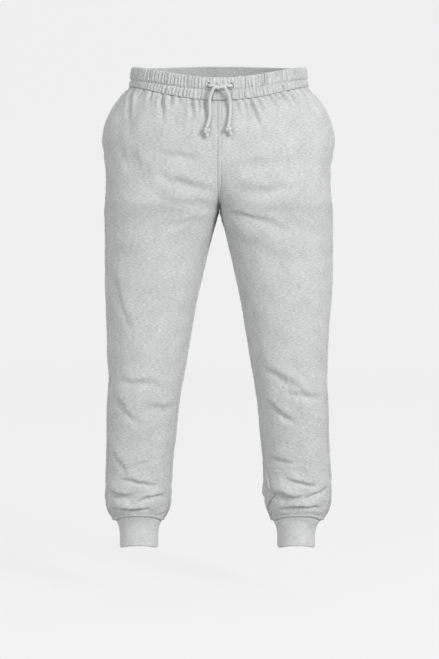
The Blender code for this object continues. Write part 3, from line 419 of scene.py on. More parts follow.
@dataclass
class HalfSurface:
    """The cloth surface of one half, worked out once on a fine lattice of heights and widths."""

    side: Side
    lattice_across: int = 161
    ring_steps: int = 320
    rise_reach: float = 0.06
    heights: Array = field(init=False)
    across: Array = field(init=False)
    points: Array = field(init=False)
    normals: Array = field(init=False)
    widths: Array = field(init=False)

    def __post_init__(self) -> None:
        """Work the lattice out from the tables."""
        word = self.side.word
        names = (f"outer_{word}", f"inner_{word}", "front", "back", "square")
        columns = [through(SECTIONS, name) for name in names]
        self.outer, self.inner, self.front, self.back, self.square = columns
        self.outseam, self.inseam = through(SEAM_TURNS, "outseam"), through(SEAM_TURNS, f"inseam_{word}")
        leg, hips = np.arange(-930, CROTCH - 7, 4.0), np.arange(CROTCH + 12, 31, 3.0)
        near_crotch = CROTCH + np.array([-6, -3, -1.5, -0.5, 0, 0.2, 0.6, 1.2, 2, 3, 4.5, 6, 9])
        self.heights = np.unique(np.concatenate([leg, near_crotch, hips]))
        self.across = np.linspace(0, 2, self.lattice_across)
        rings = [self.ring(height) for height in self.heights]
        self.points = np.stack([points for points, _ in rings])
        self.widths = np.array([widths for _, widths in rings])
        self.normals = self.surface_normals()

    def ring(self, height: float) -> tuple[Array, list[float]]:
        """Work out one level cut of the half.

        Args:
            height: Height of the cut.

        Returns:
            Points evenly spaced across the front and across the back, and the widths of the two.
        """
        cleft = 1 - eased((height - CROTCH) / CLEFT)
        outer, square = self.outer(height), self.square(height)
        inner_square = square + INNER_SQUARE * bump(height - CROTCH, INNER_SQUARE_REACH)
        if height > CROTCH:
            half_width = outer / (1 + cleft)
            middle = cleft * half_width
            last = math.pi - math.acos(min(1.0, cleft ** (inner_square / 2)))
            first = -last
        else:
            inner = self.inner(height)
            half_width, middle = (outer - inner) / 2, (outer + inner) / 2
            first = -math.pi + math.radians(self.inseam(height))
            last = first + 2 * math.pi
        front, back, outseam = self.front(height), self.back(height), -math.radians(self.outseam(height))
        flat, widths = [], []
        for begin, end in ((first, outseam), (outseam, last)):
            turn = np.linspace(begin, end, self.ring_steps)
            cosine, sine = np.cos(turn), np.sin(turn)
            power = 2 / np.where(cosine < 0, inner_square, square)
            x = middle + half_width * np.sign(cosine) * np.abs(cosine) ** power
            y = (front + back) / 2 + (back - front) / 2 * np.sign(sine) * np.abs(sine) ** power
            length = np.concatenate([[0], np.cumsum(np.hypot(np.diff(x), np.diff(y)))])
            even = np.linspace(0, length[-1], (self.lattice_across + 1) // 2)[len(widths):]
            flat.append(np.stack([np.interp(even, length, x), np.interp(even, length, y)]))
            widths.append(float(length[-1]))
        x, y = np.concatenate(flat, axis=1)
        x = self.side.value * (np.maximum(x, 0) + SEAM_GAP / 2)
        return np.stack([x, y, np.full_like(x, height)], axis=1), widths

    def surface_normals(self) -> Array:
        """Work out the outward unit normals, kept in the garment's middle plane along the rise seams."""
        down = np.gradient(self.points, self.heights, axis=0)
        sideways = np.gradient(self.points, self.across, axis=1)
        normals = np.cross(sideways, down) * self.side.value
        normals /= np.linalg.norm(normals, axis=2, keepdims=True)
        leg = self.heights < CROTCH
        seam = normals[leg][:, 0] + normals[leg][:, -1]
        seam /= np.linalg.norm(seam, axis=1, keepdims=True)
        normals[leg, 0] = normals[leg, -1] = seam
        for column, facing in ((0, -1.0), (-1, 1.0)):
            lean = np.gradient(self.points[:, column, 1], self.heights)
            plane = np.stack([np.zeros_like(lean), np.full_like(lean, facing), -facing * lean], axis=1)
            plane /= np.linalg.norm(plane, axis=1, keepdims=True)
            plane[self.heights <= CROTCH + 0.1] = (0, 0, -1)
            near = eased(np.abs(self.across - self.across[column]) / self.rise_reach)[None, :, None]
            blended = plane[:, None, :] * (1 - near) + normals * near
            blended /= np.linalg.norm(blended, axis=2, keepdims=True)
            normals[~leg] = blended[~leg]
        return normals

    def sample(self, lattice: Array, across: Array, height: Array) -> Array:
        """Read a lattice between its rows and columns."""
        across, height = np.broadcast_arrays(np.asarray(across, float), np.asarray(height, float))
        row = np.clip(np.searchsorted(self.heights, height) - 1, 0, len(self.heights) - 2)
        cells = across / 2 * (self.lattice_across - 1)
        column = np.clip(cells.astype(int), 0, self.lattice_across - 2)
        up = ((height - self.heights[row]) / (self.heights[row + 1] - self.heights[row]))[..., None]
        on = (cells - column)[..., None]
        low = lattice[row, column] * (1 - on) + lattice[row, column + 1] * on
        high = lattice[row + 1, column] * (1 - on) + lattice[row + 1, column + 1] * on
        return low * (1 - up) + high * up

    def panel_widths(self, height: Array) -> list[Array]:
        """Widths of the front and of the back at a height."""
        return [np.interp(height, self.heights, column) for column in self.widths.T]

    def width(self, across: Array | float, height: Array | float) -> Array:
        """Width of the panel that a place lies on."""
        return np.where(np.asarray(across) <= 1, *self.panel_widths(height))

    def cloth(self, across: Array, height: Array, out: Array | float = 0.0) -> Array:
        """Points on the surface, moved out along its normal."""
        normal = self.sample(self.normals, across, height)
        normal /= np.linalg.norm(normal, axis=-1, keepdims=True)
        return self.sample(self.points, across, height) + normal * np.asarray(out, float)[..., None]

    def cloth_map(self, across: Array, height: Array) -> Array:
        """Place on the flat cloth in millimetres, for patterns that follow the cloth."""
        across, height = np.broadcast_arrays(np.asarray(across, float), np.asarray(height, float))
        front, back = self.panel_widths(height)
        along = np.minimum(across, 1) * front + np.maximum(across - 1, 0) * back
        return np.stack([self.side.value * along, height], axis=-1)


@dataclass
class Drape:
    """Folds and gathers of one half's cloth, as distances out of its plain surface."""

    surface: HalfSurface
    fold_gain: float = 0.8
    fold_valley: float = 0.8
    fold_core: float = 0.3
    fold_core_width: float = 0.38
    fold_waver: float = 0.22
    lip_place: float = 1.3
    lip_below: float = 0.65
    lip_above: float = 2.1
    gather_gain: float = 1.85
    gather_shoulder: float = 0.42
    gather_shoulder_place: float = 1.9
    gather_rise: float = 14.0
    fine_gather_pitch: float = 4.6
    fine_gather_depth: float = 1.7
    fine_gather_length: float = 19.0
    broad_slack: float = 46.0
    small_slack: float = 17.0
    low_slack_start: float = -520.0
    low_slack_reach: float = 300.0
    seam_roll: float = 1.9
    seam_roll_width: float = 1.7
    leg_seam_roll: float = 1.7
    leg_seam_width: float = 2.1
    front_ridge: float = 0.5
    back_ridge: float = 2.5
    ridge_place: float = 4.0
    ridge_width: float = 2.1
    pucker_pitch: float = 3.4
    calm_share: float = 0.3
    calm_reach: float = 7.0
    cuff_ridge: float = 1.2
    cuff_ridge_place: float = 4.2
    cuff_ridge_width: float = 2.0
    strip_width: float = 2.2
    strip_height: float = 0.9
    strip_groove: float = 1.5
    allowance_width: float = 6.0
    allowance_height: float = 1.2

    def pleats(self) -> list[Pleat]:
        """List the half's gathers: the front ones from the table, the back ones spaced by rule."""
        side = self.surface.side
        pleats = list(PLEATS[side])
        for i in range(BACK_PLEATS):
            shifted = (i + 0.25 * math.sin(2.4 * i + side.value)) / (BACK_PLEATS - 1)
            place = BACK_PLEAT_START + BACK_PLEAT_SPAN * shifted
            length, depth = BACK_PLEAT_SIZES[(2 * i + (side is Side.LEFT)) % len(BACK_PLEAT_SIZES)]
            pleats.append(Pleat(place, 0.03 * (1.5 - place), length, depth, BACK_PLEAT_WIDTH))
        return pleats

    def gathers(self, across: Array, height: Array) -> Array:
        """Depth of the large and the fine gathers below the waist seam."""
        below = seam_height(across) - height
        width = self.surface.width(across, height)
        rise = 0.55 + 0.45 * eased(below / self.gather_rise)
        total = np.zeros(np.broadcast(across, height).shape)
        for pleat in self.pleats():
            along = below / pleat.length
            off = (across - pleat.across - pleat.drift * along) * width
            crisp = pleat.width * (0.62 + 0.5 * np.clip(along, 0, 1))
            beside = self.gather_shoulder_place * crisp
            shoulders = bump(off - beside, crisp) + bump(off + beside, crisp)
            dip = bump(off, crisp) - self.gather_shoulder * shoulders
            total -= self.gather_gain * pleat.depth * dip * rise * (1 - eased(along))
        fine = drift(across * width / self.fine_gather_pitch, 4.0 * self.surface.side.value + 11.0) - 0.4
        fading = np.exp(-below / self.fine_gather_length) * eased(below / 3)
        return total + self.fine_gather_depth * fine * fading

    def folds(self, across: Array, height: Array) -> Array:
        """Depth of the creases, each with the fold of cloth that bulges over it."""
        total = np.zeros(np.broadcast(across, height).shape)
        for crease in CREASES[self.surface.side]:
            off = across - crease.across
            along = np.where(height < CROTCH, (off + 1) % 2 - 1, off) / crease.reach
            waver = self.fold_waver * crease.width * drift(3.1 * along, crease.height)
            line = crease.height + crease.tilt * along + crease.bow * along * along + waver
            over = (height - line) / (crease.width * (1 + 0.25 * drift(1.7 * along, crease.tilt)))
            lip = bump(over - self.lip_place, np.where(over < self.lip_place, self.lip_below, self.lip_above))
            core = self.fold_core * min(1.0, max(0.0, 9 / crease.width - 0.5))
            folded = self.fold_gain * (lip - bump(over, self.fold_valley))
            shape = folded - core * bump(over - 0.1, self.fold_core_width)
            total += crease.depth * shape * np.clip(1 - along * along, 0, 1) ** 1.3
        return total

    def slack(self, across: Array, height: Array) -> Array:
        """Soft unevenness of hanging cloth, more of it low on the leg."""
        along = across * self.surface.width(across, height)
        seed = 2.0 + self.surface.side.value
        broad = undulation(along, 1.6 * height, self.broad_slack, seed)
        small = undulation(0.6 * along, 1.7 * height, self.small_slack, seed + 5)
        low = eased((self.low_slack_start - height) / self.low_slack_reach)
        return 0.6 * broad + (0.25 + 0.45 * low) * small

    def relief(self, across: Array, height: Array) -> Array:
        """How far gathers and folds move the cloth out of its plain surface. The rise seams stay straight."""
        held = np.where(height < CROTCH - 20, 1.0, eased(np.minimum(across, 2 - across) / 0.07))
        freed = eased((height - cuff_seam_height(across)) / 9)
        soft = self.slack(across, height) * eased((seam_height(across) - height) / 30)
        return (self.gathers(across, height) + self.folds(across, height) + soft) * held * freed

    def gape(self, across: Array, height: Array) -> Array:
        """How far the front stands off the hip near its pocket mouth."""
        down = np.clip((SEAM_SIDE - height) / (SEAM_SIDE - MOUTH_BOTTOM), 0, 1)
        off = (mouth_across(height) - across) * self.surface.width(across, height)
        return GAPE * np.sin(math.pi * down) ** 1.1 * bump(off, GAPE_REACH) * (down > 0) * (down < 1)

    def seam_relief(self, across: Array, height: Array) -> Array:
        """Cloth rolling in at its seams, and the seam allowances pressed under it."""
        width = self.surface.width(across, height)
        to_waist, to_cuff = seam_height(across) - height, height - cuff_seam_height(across)
        to_side, to_rise = np.abs(across - 1) * width, np.minimum(across, 2 - across) * width
        to_mouth = (mouth_across(height) - across) * width
        in_mouth, on_rise = (height > MOUTH_BOTTOM - 4) & (across <= 1), height > CROTCH - 4
        above_cuff = self.calm_share + (1 - self.calm_share) * eased(to_cuff / self.calm_reach)
        leg_depth = self.leg_seam_roll * above_cuff
        rolls = bump(to_waist, self.seam_roll_width) + bump(to_cuff, self.seam_roll_width)
        rolls += np.where(in_mouth, 0.0, leg_depth * bump(to_side, self.leg_seam_width))
        leg_roll = leg_depth * bump(to_rise, self.leg_seam_width)
        rolls += np.where(on_rise, 0.25 * bump(to_rise, self.seam_roll_width), leg_roll)
        strip = self.strip_height * (1 - eased((to_rise - self.strip_width) / 0.9))
        strip = (strip - self.strip_groove * bump(to_rise - self.strip_width - 1.2, 0.9)) * on_rise
        puckers = 0.95 + 0.2 * drift(height / self.pucker_pitch, 1.0)
        beside_side = bump(to_side - self.ridge_place, self.ridge_width) * ~in_mouth
        beside_rise = bump(to_rise - self.ridge_place, self.ridge_width) * ~on_rise
        ridges = np.where(across > 1, self.back_ridge, self.front_ridge) * puckers * above_cuff
        ridges *= beside_side + beside_rise
        hem = self.allowance_height * (1 - eased((to_mouth - self.allowance_width) / 2)) * in_mouth
        cuff = 0.4 * self.allowance_height * (1 - eased((to_cuff - self.allowance_width + 1) / 2))
        cuff += self.cuff_ridge * bump(to_cuff - self.cuff_ridge_place, self.cuff_ridge_width)
        return cuff + hem + strip + ridges - self.seam_roll * np.clip(rolls, 0, self.leg_seam_roll)

    def surface_out(self, across: Array, height: Array, front: bool) -> Array:
        """Whole distance of a panel's outer face from the plain surface."""
        out = self.relief(across, height) + self.seam_relief(across, height)
        return out + self.gape(across, height) if front else out


def grid_faces(rows: int, columns: int, round_rows: bool = False, round_columns: bool = False) -> Faces:
    """Faces of a grid of points stored row by row.

    Args:
        rows: How many rows it has.
        columns: How many points a row has.
        round_rows: Whether the last row joins the first.
        round_columns: Whether each row closes on itself.

    Returns:
        The faces, all turned the same way.
    """
    faces = []
    for row in range(rows if round_rows else rows - 1):
        a, b = row * columns, (row + 1) % rows * columns
        for column in range(columns if round_columns else columns - 1):
            after = (column + 1) % columns
            faces.append((a + column, b + column, b + after, a + after))
    return faces


def added(name: str, data: bpy.types.ID) -> Object:
    """Make an object of some data and link it to the scene."""
    made = bpy.data.objects.new(name, data)
    bpy.context.scene.collection.objects.link(made)
    return made


def finished_mesh(name: str, points: Array, faces: Faces, flat: Array, finish: Material) -> Object:
    """Make an object from points in millimetres, with outward faces, smooth shading and its cloth map.

    Args:
        name: The piece's name.
        points: Its points, in millimetres.
        faces: Its faces.
        flat: The place of each point on the flat cloth, in millimetres.
        finish: Its material.

    Returns:
        The object, with its place in its mesh.
    """
    mesh = bpy.data.meshes.new(name)
    mesh.from_pydata((points * MM).tolist(), [], faces)
    if signed_volume(points, faces) < 0:
        mesh.flip_normals()
    mesh.shade_smooth()
    corners = np.zeros(len(mesh.loops), dtype=np.int32)
    mesh.loops.foreach_get("vertex_index", corners)
    layer = mesh.uv_layers.new(name=CLOTH_MAP)
    layer.data.foreach_set("uv", (flat[corners] * MM).astype(np.float32).ravel())
    mesh.materials.append(finish)
    mesh.update()
    return added(name, mesh)


def signed_volume(points: Array, faces: Faces) -> float:
    """Volume that the four-sided faces close in, negative if they point inwards."""
    a, b, c, d = points[np.array([face for face in faces if len(face) == 4]).T]
    return float(np.einsum("ij,ij->", a, np.cross(b, c) + np.cross(c, d))) / 6


def walled(outer: Array, inner: Array, faces: Faces) -> tuple[Array, Faces]:
    """Close a sheet into a thin wall.

    Args:
        outer: The points of its outer face.
        inner: The points of its inner face, in the same order.
        faces: The faces of the sheet.

    Returns:
        The wall's points and faces, with rims along the sheet's open edges.
    """
    count = len(outer)
    uses: dict[tuple[int, int], int] = {}
    for face in faces:
        for a, b in zip(face, face[1:] + face[:1]):
            uses[a, b] = uses.get((a, b), 0) + 1
    rims = [(b, a, count + a, count + b) for a, b in uses if (b, a) not in uses]
    back = [tuple(count + i for i in reversed(face)) for face in faces]
    return np.concatenate([outer, inner]), faces + back + rims


def spaced(start: float, end: float, spacing: Sequence[tuple[float, float]]) -> Array:
    """Levels from start down to end, with their spacing read from a short table of level and spacing."""
    levels, places = [start], np.array(spacing, float)[::-1]
    while levels[-1] > end:
        levels.append(levels[-1] - float(np.interp(levels[-1], places[:, 0], places[:, 1])))
    levels = np.array(levels)
    return start + (levels - start) * (end - start) / (levels[-1] - start)


@dataclass
class LegPanel:
    """Front or back of one leg, a thin shell of fleece with its gathers, creases and pressed seams."""

    drape: Drape
    front: bool
    finish: Material
    columns: int = 112
    edge_columns: int = 10
    edge_width: float = 8.0
    row_spacing: Spacing = (
        (-20, 0.9), (-27, 1.5), (-45, 2.2), (-90, 3.2), (-220, 4.2), (-500, 4.4), (-640, 3.0), (-760, 1.8),
        (-835, 1.3), (-850, 0.9), (-855, 0.8),
    )

    @property
    def name(self) -> str:
        """Name of the solid that this panel dresses."""
        return f"{'front' if self.front else 'back'}_{self.drape.surface.side.word}"

    def across_row(self, level: float) -> Array:
        """Places across the panel in one row, closer together along both edges."""
        rough = float(panel_height(level, 1.0))
        width = float(self.drape.surface.width(0.5 if self.front else 1.5, rough))
        inset = SEAM_GAP / 2 / width
        on_rise = inset if level <= CROTCH else 0.0
        if self.front:
            first, last = on_rise, float(mouth_across(rough)) if level > MOUTH_BOTTOM else 1 - inset
        else:
            first, last = 1 + inset, 2 - on_rise
        edge = self.edge_width / width / (last - first)
        near = np.linspace(0, edge, self.edge_columns, endpoint=False)
        middle = np.linspace(edge, 1 - edge, self.columns - 2 * self.edge_columns)
        return first + (last - first) * np.concatenate([near, middle, 1 - near[::-1]])

    def build(self) -> Object:
        """Build the panel and return it."""
        surface = self.drape.surface
        levels = spaced(SEAM_SIDE, CUFF_SEAM_FRONT, self.row_spacing)
        across = np.stack([self.across_row(level) for level in levels])
        height = np.stack([panel_height(level, row) for level, row in zip(levels, across)])
        height[0] -= SEAM_GAP
        out = self.drape.surface_out(across, height, self.front)
        outer = surface.cloth(across, height, out).reshape(-1, 3)
        inner = surface.cloth(across, height, out - FLEECE).reshape(-1, 3)
        flat = surface.cloth_map(across, height).reshape(-1, 2)
        points, faces = walled(outer, inner, grid_faces(len(levels), across.shape[1]))
        return finished_mesh(f"{self.name}_cloth", points, faces, np.concatenate([flat, flat]), self.finish)


@dataclass
class Waistband:
    """Gathered casing in two puffed channels over the elastic, with a row of stitching between them."""

    halves: tuple[HalfSurface, HalfSurface]
    finish: Material

    # Of each channel: how far it puffs, and the pitch and depth of its finer gathers
    upper: Place = (2.7, 1.83, 0.55)
    lower: Place = (2.4, 1.37, 0.35)
    gathers: int = 64
    samples: int = 8
    rows: int = 40
    row_crowding: float = 0.35
    inside_rows: int = 20
    inside: float = -2.4
    inside_allowance: float = 3.6
    allowance_top: float = 0.25
    allowance_fade: float = 0.15
    stand: float = 0.6
    stitch_dip: float = 2.4
    stitch_dip_width: float = 1.8
    gather_depth: float = 3.6
    gather_sharpness: float = 4.5
    gather_shift: float = 0.32
    gather_waver: float = 0.13
    stitch_front: float = 0.46
    stitch_side: float = 0.34
    stitch_back: float = 0.42
    calm_front: float = 0.15
    eyelet_half_width: float = 4.2
    eyelet_half_height: float = 5.8
    eyelet_sink: float = 3.6
    eyelet_bottom: float = 0.62

    def stitch_share(self, across: Array) -> Array:
        """How far up the band its middle stitching runs."""
        return round_the_half(across, self.stitch_front, self.stitch_side, self.stitch_back)

    def height(self, across: Array, share: Array | float) -> Array:
        """Height of a place on the band, from a share of 0 at the waist seam to 1 at the top."""
        low = seam_height(across)
        return low + (top_height(across) - low) * share

    def out(self, surface: HalfSurface, across: Array, share: Array) -> Array:
        """How far the band's outer face stands out: two puffed channels, gathered by the elastic."""
        stitch = self.stitch_share(across)
        in_upper = share > stitch
        place = np.where(in_upper, (share - stitch) / (1 - stitch), share / stitch)
        round_out = np.sqrt(np.clip(1 - (2 * place - 1) ** 4, 0, 1))
        puff, pitch, share_of_finer = (np.where(in_upper, *pair) for pair in zip(self.upper, self.lower))
        seed = 3.0 * surface.side.value
        phase = across * self.gathers / 2 + self.gather_shift * drift(across * 21 + 4.0 * in_upper, seed)
        phase += self.gather_waver * drift(2.2 * place + 9.0 * in_upper + across * 31, seed)
        trough = np.abs(np.cos(math.pi * phase)) ** self.gather_sharpness
        finer = share_of_finer * np.abs(np.cos(math.pi * (pitch * phase + 0.3))) ** 6
        strength = 0.78 + 0.34 * drift(across * 17 + 3.0 * in_upper, seed + 1)
        calm = 1 - 0.5 * bump(across, self.calm_front)
        gathered = (trough + finer) * strength * calm * (0.35 + 0.65 * round_out)
        to_stitch = (share - stitch) * (top_height(across) - seam_height(across))
        dip = self.stitch_dip * bump(to_stitch, self.stitch_dip_width)
        dip += self.eyelet_dip(surface, across, share)
        return self.stand + puff * round_out - self.gather_depth * gathered - dip

    def eyelet_dip(self, surface: HalfSurface, across: Array, share: Array) -> Array:
        """Depth of the hole in each eyelet."""
        place = EYELETS[surface.side]
        height = self.height(across, share)
        sideways = (across * surface.width(across, height) - abs(place[0])) / self.eyelet_half_width
        off = np.hypot(sideways, (height - place[2]) / self.eyelet_half_height)
        return self.eyelet_sink * (1 - eased((off - self.eyelet_bottom) / (1 - self.eyelet_bottom)))

    def build(self) -> Object:
        """Build the band as one ring with a thick wall and return it."""
        count = self.gathers * self.samples
        across = (np.arange(count) + 0.5) * 2 / count
        even = np.linspace(0, 1, self.rows)
        shares = self.row_crowding * (1 - np.cos(math.pi * even)) / 2 + (1 - self.row_crowding) * even
        inside = np.linspace(1, 0, self.inside_rows)
        points, maps = [], []
        for row, share in enumerate(np.concatenate([shares, inside])):
            height = self.height(across, share)
            for half, way in zip(self.halves, (1, -1)):
                if row < self.rows:
                    out = self.out(half, across, np.full_like(across, share))
                else:
                    to_top = (share - self.allowance_top) / self.allowance_fade
                    out = self.inside - self.inside_allowance * (1 - eased(to_top + 1))
                points.append(half.cloth(across, height, out)[::way])
                maps.append(half.cloth_map(across, height)[::way])
        faces = grid_faces(self.rows + self.inside_rows, 2 * count, round_rows=True, round_columns=True)
        points, maps = np.concatenate(points), np.concatenate(maps)
        return finished_mesh("waistband_cloth", points, faces, maps, self.finish)

    def stitch_line(self, half: HalfSurface) -> Array:
        """Points along the stitching between the channels, a little above its groove."""
        across = np.linspace(0.004, 1.996, 260)
        share = self.stitch_share(across)
        return half.cloth(across, self.height(across, share), self.out(half, across, share) + 0.15)


@dataclass
class RibCuff:
    """Rib cuff, a doubled tube with a folded hem and fine ribs."""

    surface: HalfSurface
    finish: Material
    ribs: int = 104
    samples: int = 6
    rows: int = 26
    inside_rows: int = 10
    rib_depth: float = 0.42
    seam_draw: float = 0.9
    seam_draw_reach: float = 7.0
    unevenness: float = 0.35
    hem_round: float = 2.2
    hem_depth: float = 1.1
    hem_depth_inside: float = 0.88

    def build(self) -> Object:
        """Build the cuff and return it."""
        count = self.ribs * self.samples
        across = np.arange(count) * 2 / count
        top = cuff_seam_height(across) - SEAM_GAP
        hem = round_the_leg(across, HEM_FRONT, HEM_SIDE, HEM_BACK)
        rows, maps = [], []
        shares = np.concatenate([np.linspace(0, 1, self.rows), np.linspace(1, 0, self.inside_rows)])
        for row, share in enumerate(shares):
            height = top + (hem - top) * share
            close = np.clip(1 - (height - hem) / self.hem_round, 0, 1)
            rounded = 1 - np.sqrt(1 - close**2)
            if row < self.rows:
                out = self.ribbed(across, share, top - height) - self.hem_depth * rounded
            else:
                out = self.hem_depth_inside * rounded - RIB
            rows.append(self.surface.cloth(across, height, out))
            maps.append(self.surface.cloth_map(across, height))
        faces = grid_faces(len(rows), count, round_rows=True, round_columns=True)
        name = f"cuff_{self.surface.side.word}_rib"
        return finished_mesh(name, np.concatenate(rows), faces, np.concatenate(maps), self.finish)

    def ribbed(self, across: Array, share: float, below_seam: Array) -> Array:
        """How far the outer face stands out: ribs, drawn in unevenly by the seam over them."""
        rib = np.abs(np.sin(math.pi * self.ribs * across / 2)) ** 0.7 - 1
        pull = 0.5 + 0.5 * drift(across * 16 + 1.2 * share, 4.0 + self.surface.side.value)
        drawn = self.seam_draw * np.exp(-below_seam / self.seam_draw_reach) * pull + bump(below_seam, 1.2)
        return self.rib_depth * rib - drawn + self.unevenness * drift(across * 5 + 2 * share, 9.0)


@dataclass
class PocketBag:
    """Pocket bag hung in the outseam, whose back shows in the mouth as a facing."""

    drape: Drape
    finish: Material
    columns: int = 26
    fold_top: float = 7 / 12
    fold_bottom: float = 0.74
    narrows: float = -235.0
    bottom: float = -302.0
    room: float = 9.0
    least_room: float = 1.0
    slack: float = 4.5
    slack_reach: float = 14.0
    flush_start: float = -100.0
    flush_reach: float = 50.0
    row_spacing: Spacing = ((-20, 3.5), (-150, 4.0), (-302, 7.0))

    def build(self) -> Object:
        """Build the bag and return it."""
        above = spaced(SEAM_SIDE, MOUTH_BOTTOM, self.row_spacing)
        levels = np.concatenate([above, spaced(MOUTH_BOTTOM, self.bottom, self.row_spacing)[1:]])
        rows = [self.row(float(level)) for level in levels]
        outer, inner, flat = (np.concatenate(parts) for parts in zip(*rows))
        ring = 2 * self.columns
        faces = grid_faces(len(levels), ring)
        for a in range((len(above) - 1) * ring, (len(levels) - 1) * ring, ring):
            faces.append((a + ring - 1, a + 2 * ring - 1, a + ring, a))
        last = (len(levels) - 1) * ring
        for i in range(self.columns - 1):
            faces.append((last + i, last + ring - 1 - i, last + ring - 2 - i, last + i + 1))
        points, faces = walled(outer, inner, faces)
        name = f"pocket_{self.drape.surface.side.word}_bag"
        return finished_mesh(name, points, faces, np.concatenate([flat, flat]), self.finish)

    def row(self, level: float) -> tuple[Array, Array, Array]:
        """Outer points, inner points and cloth places of one row: the front layer, then the back layer."""
        surface = self.drape.surface
        rough = float(panel_height(level, 1.0))
        width = float(surface.width(0.5, rough))
        back_end = 1 - SEAM_GAP / 2 / width
        in_mouth = level > MOUTH_BOTTOM
        edge = float(mouth_across(rough)) if in_mouth else back_end
        sinking = eased((self.narrows - level) / (self.narrows - self.bottom))
        fold = edge * (self.fold_top + (self.fold_bottom - self.fold_top) * sinking)
        front, back = np.linspace(edge, fold, self.columns), np.linspace(fold, back_end, self.columns)
        across = np.concatenate([front, back])
        depth = FLEECE + SEAM_GAP + self.slack * np.clip((edge - across) * width / self.slack_reach, 0, 1)
        hollow = math.sin(math.pi * (SEAM_SIDE - level) / (SEAM_SIDE - self.bottom)) * self.room
        back_depth = depth[self.columns:] + BAG + self.least_room
        back_depth += hollow * np.sin(math.pi * np.clip((back - fold) / (1 - fold), 0, 1))
        if in_mouth:
            past = np.clip((back - edge) / max(back_end - edge, 1e-6), 0, 1)
            back_depth *= 1 - past * (1 - eased((self.flush_start - level) / self.flush_reach))
        height = panel_height(level, across) - SEAM_GAP * (level >= SEAM_SIDE)
        gape = self.drape.gape(front, height[: self.columns])
        out = np.concatenate([gape - depth[: self.columns], -back_depth - BAG])
        inner_out = np.concatenate([gape - depth[: self.columns] - BAG, -back_depth])
        tuck = np.zeros(2 * self.columns)
        tuck[self.columns - 1: self.columns + 1] = BAG / width
        if not in_mouth:
            tuck[[0, -1]] = -BAG / width
        outer = surface.cloth(across, height, out)
        inner = surface.cloth(across + tuck, height + BAG * (level <= self.bottom), inner_out)
        return outer, inner, surface.cloth_map(across, height)


class SocketKind(Enum):
    """Kinds of socket that the node groups have."""

    GEOMETRY = "NodeSocketGeometry"
    LENGTH = "NodeSocketFloat"
    COUNT = "NodeSocketInt"
    PLACE = "NodeSocketVector"
    COLOUR = "NodeSocketColor"
    FINISH = "NodeSocketMaterial"


@dataclass
class NodeSheet:
    """A node tree being laid out: makes its nodes and links them."""

    tree: NodeTree

    def add(self, kind: str, settings: dict[str, object] | None = None, **inputs: object) -> Node:
        """Add a node.

        Args:
            kind: Blender's name for the kind of node.
            settings: The node's own settings.
            **inputs: A value or a socket for each of its inputs, by name, with _ for a space.

        Returns:
            The node.
        """
        node = self.tree.nodes.new(kind)
        for name, value in (settings or {}).items():
            setattr(node, name, value)
        for name, value in inputs.items():
            self.feed(node, name.replace("_", " "), value)
        return node

    def feed(self, node: Node, name: str | int, value: object) -> None:
        """Give one input of a node a value, or link a socket to it."""
        socket = node.inputs[name]
        if isinstance(value, NodeSocket):
            self.tree.links.new(value, socket)
        else:
            socket.default_value = value

    def math(self, operation: str, *values: object) -> NodeSocket:
        """Add a Math node on up to three values or sockets and return its result."""
        node = self.add("ShaderNodeMath", {"operation": operation})
        for i, value in enumerate(values):
            self.feed(node, i, value)
        return node.outputs[0]

    def noise(self, place: NodeSocket, scale: object, detail: float, roughness: float = 0.5) -> NodeSocket:
        """Add a noise texture and return its value."""
        settings = {"Vector": place, "Scale": scale, "Detail": detail, "Roughness": roughness}
        return self.add("ShaderNodeTexNoise", **settings).outputs[0]

    def mixed(self, factor: NodeSocket, low: object, high: object) -> NodeSocket:
        """Mix two colours by a factor and return the result."""
        node = self.add("ShaderNodeMix", {"data_type": "RGBA"}, Factor=factor)
        self.feed(node, 6, low)
        self.feed(node, 7, high)
        return node.outputs[2]


Sockets = dict[str, SocketKind]


def shared_tree(
    name: str, kind: str, takes: Sockets, gives: Sockets,
    fill: Callable[[NodeSheet, Inputs], Sequence[NodeSocket]],
) -> NodeTree:
    """Build a node group the first time it is asked for, and share it from then on.

    Args:
        name: The group's name.
        kind: Blender's name for the kind of tree.
        takes: The sockets that it takes, by name.
        gives: The sockets that it gives, by name.
        fill: Lays out what is in the group, given its sheet and inputs, and returns what it gives, in order.

    Returns:
        The group.
    """
    known = bpy.data.node_groups.get(name)
    if known:
        return known
    tree = bpy.data.node_groups.new(name, kind)
    for in_out, sockets in (("INPUT", takes), ("OUTPUT", gives)):
        for socket, socket_kind in sockets.items():
            tree.interface.new_socket(name=socket, in_out=in_out, socket_type=socket_kind.value)
    results = fill(NodeSheet(tree), tree.nodes.new("NodeGroupInput").outputs)
    end = tree.nodes.new("NodeGroupOutput")
    for i, result in enumerate(results):
        tree.links.new(result, end.inputs[i])
    return tree


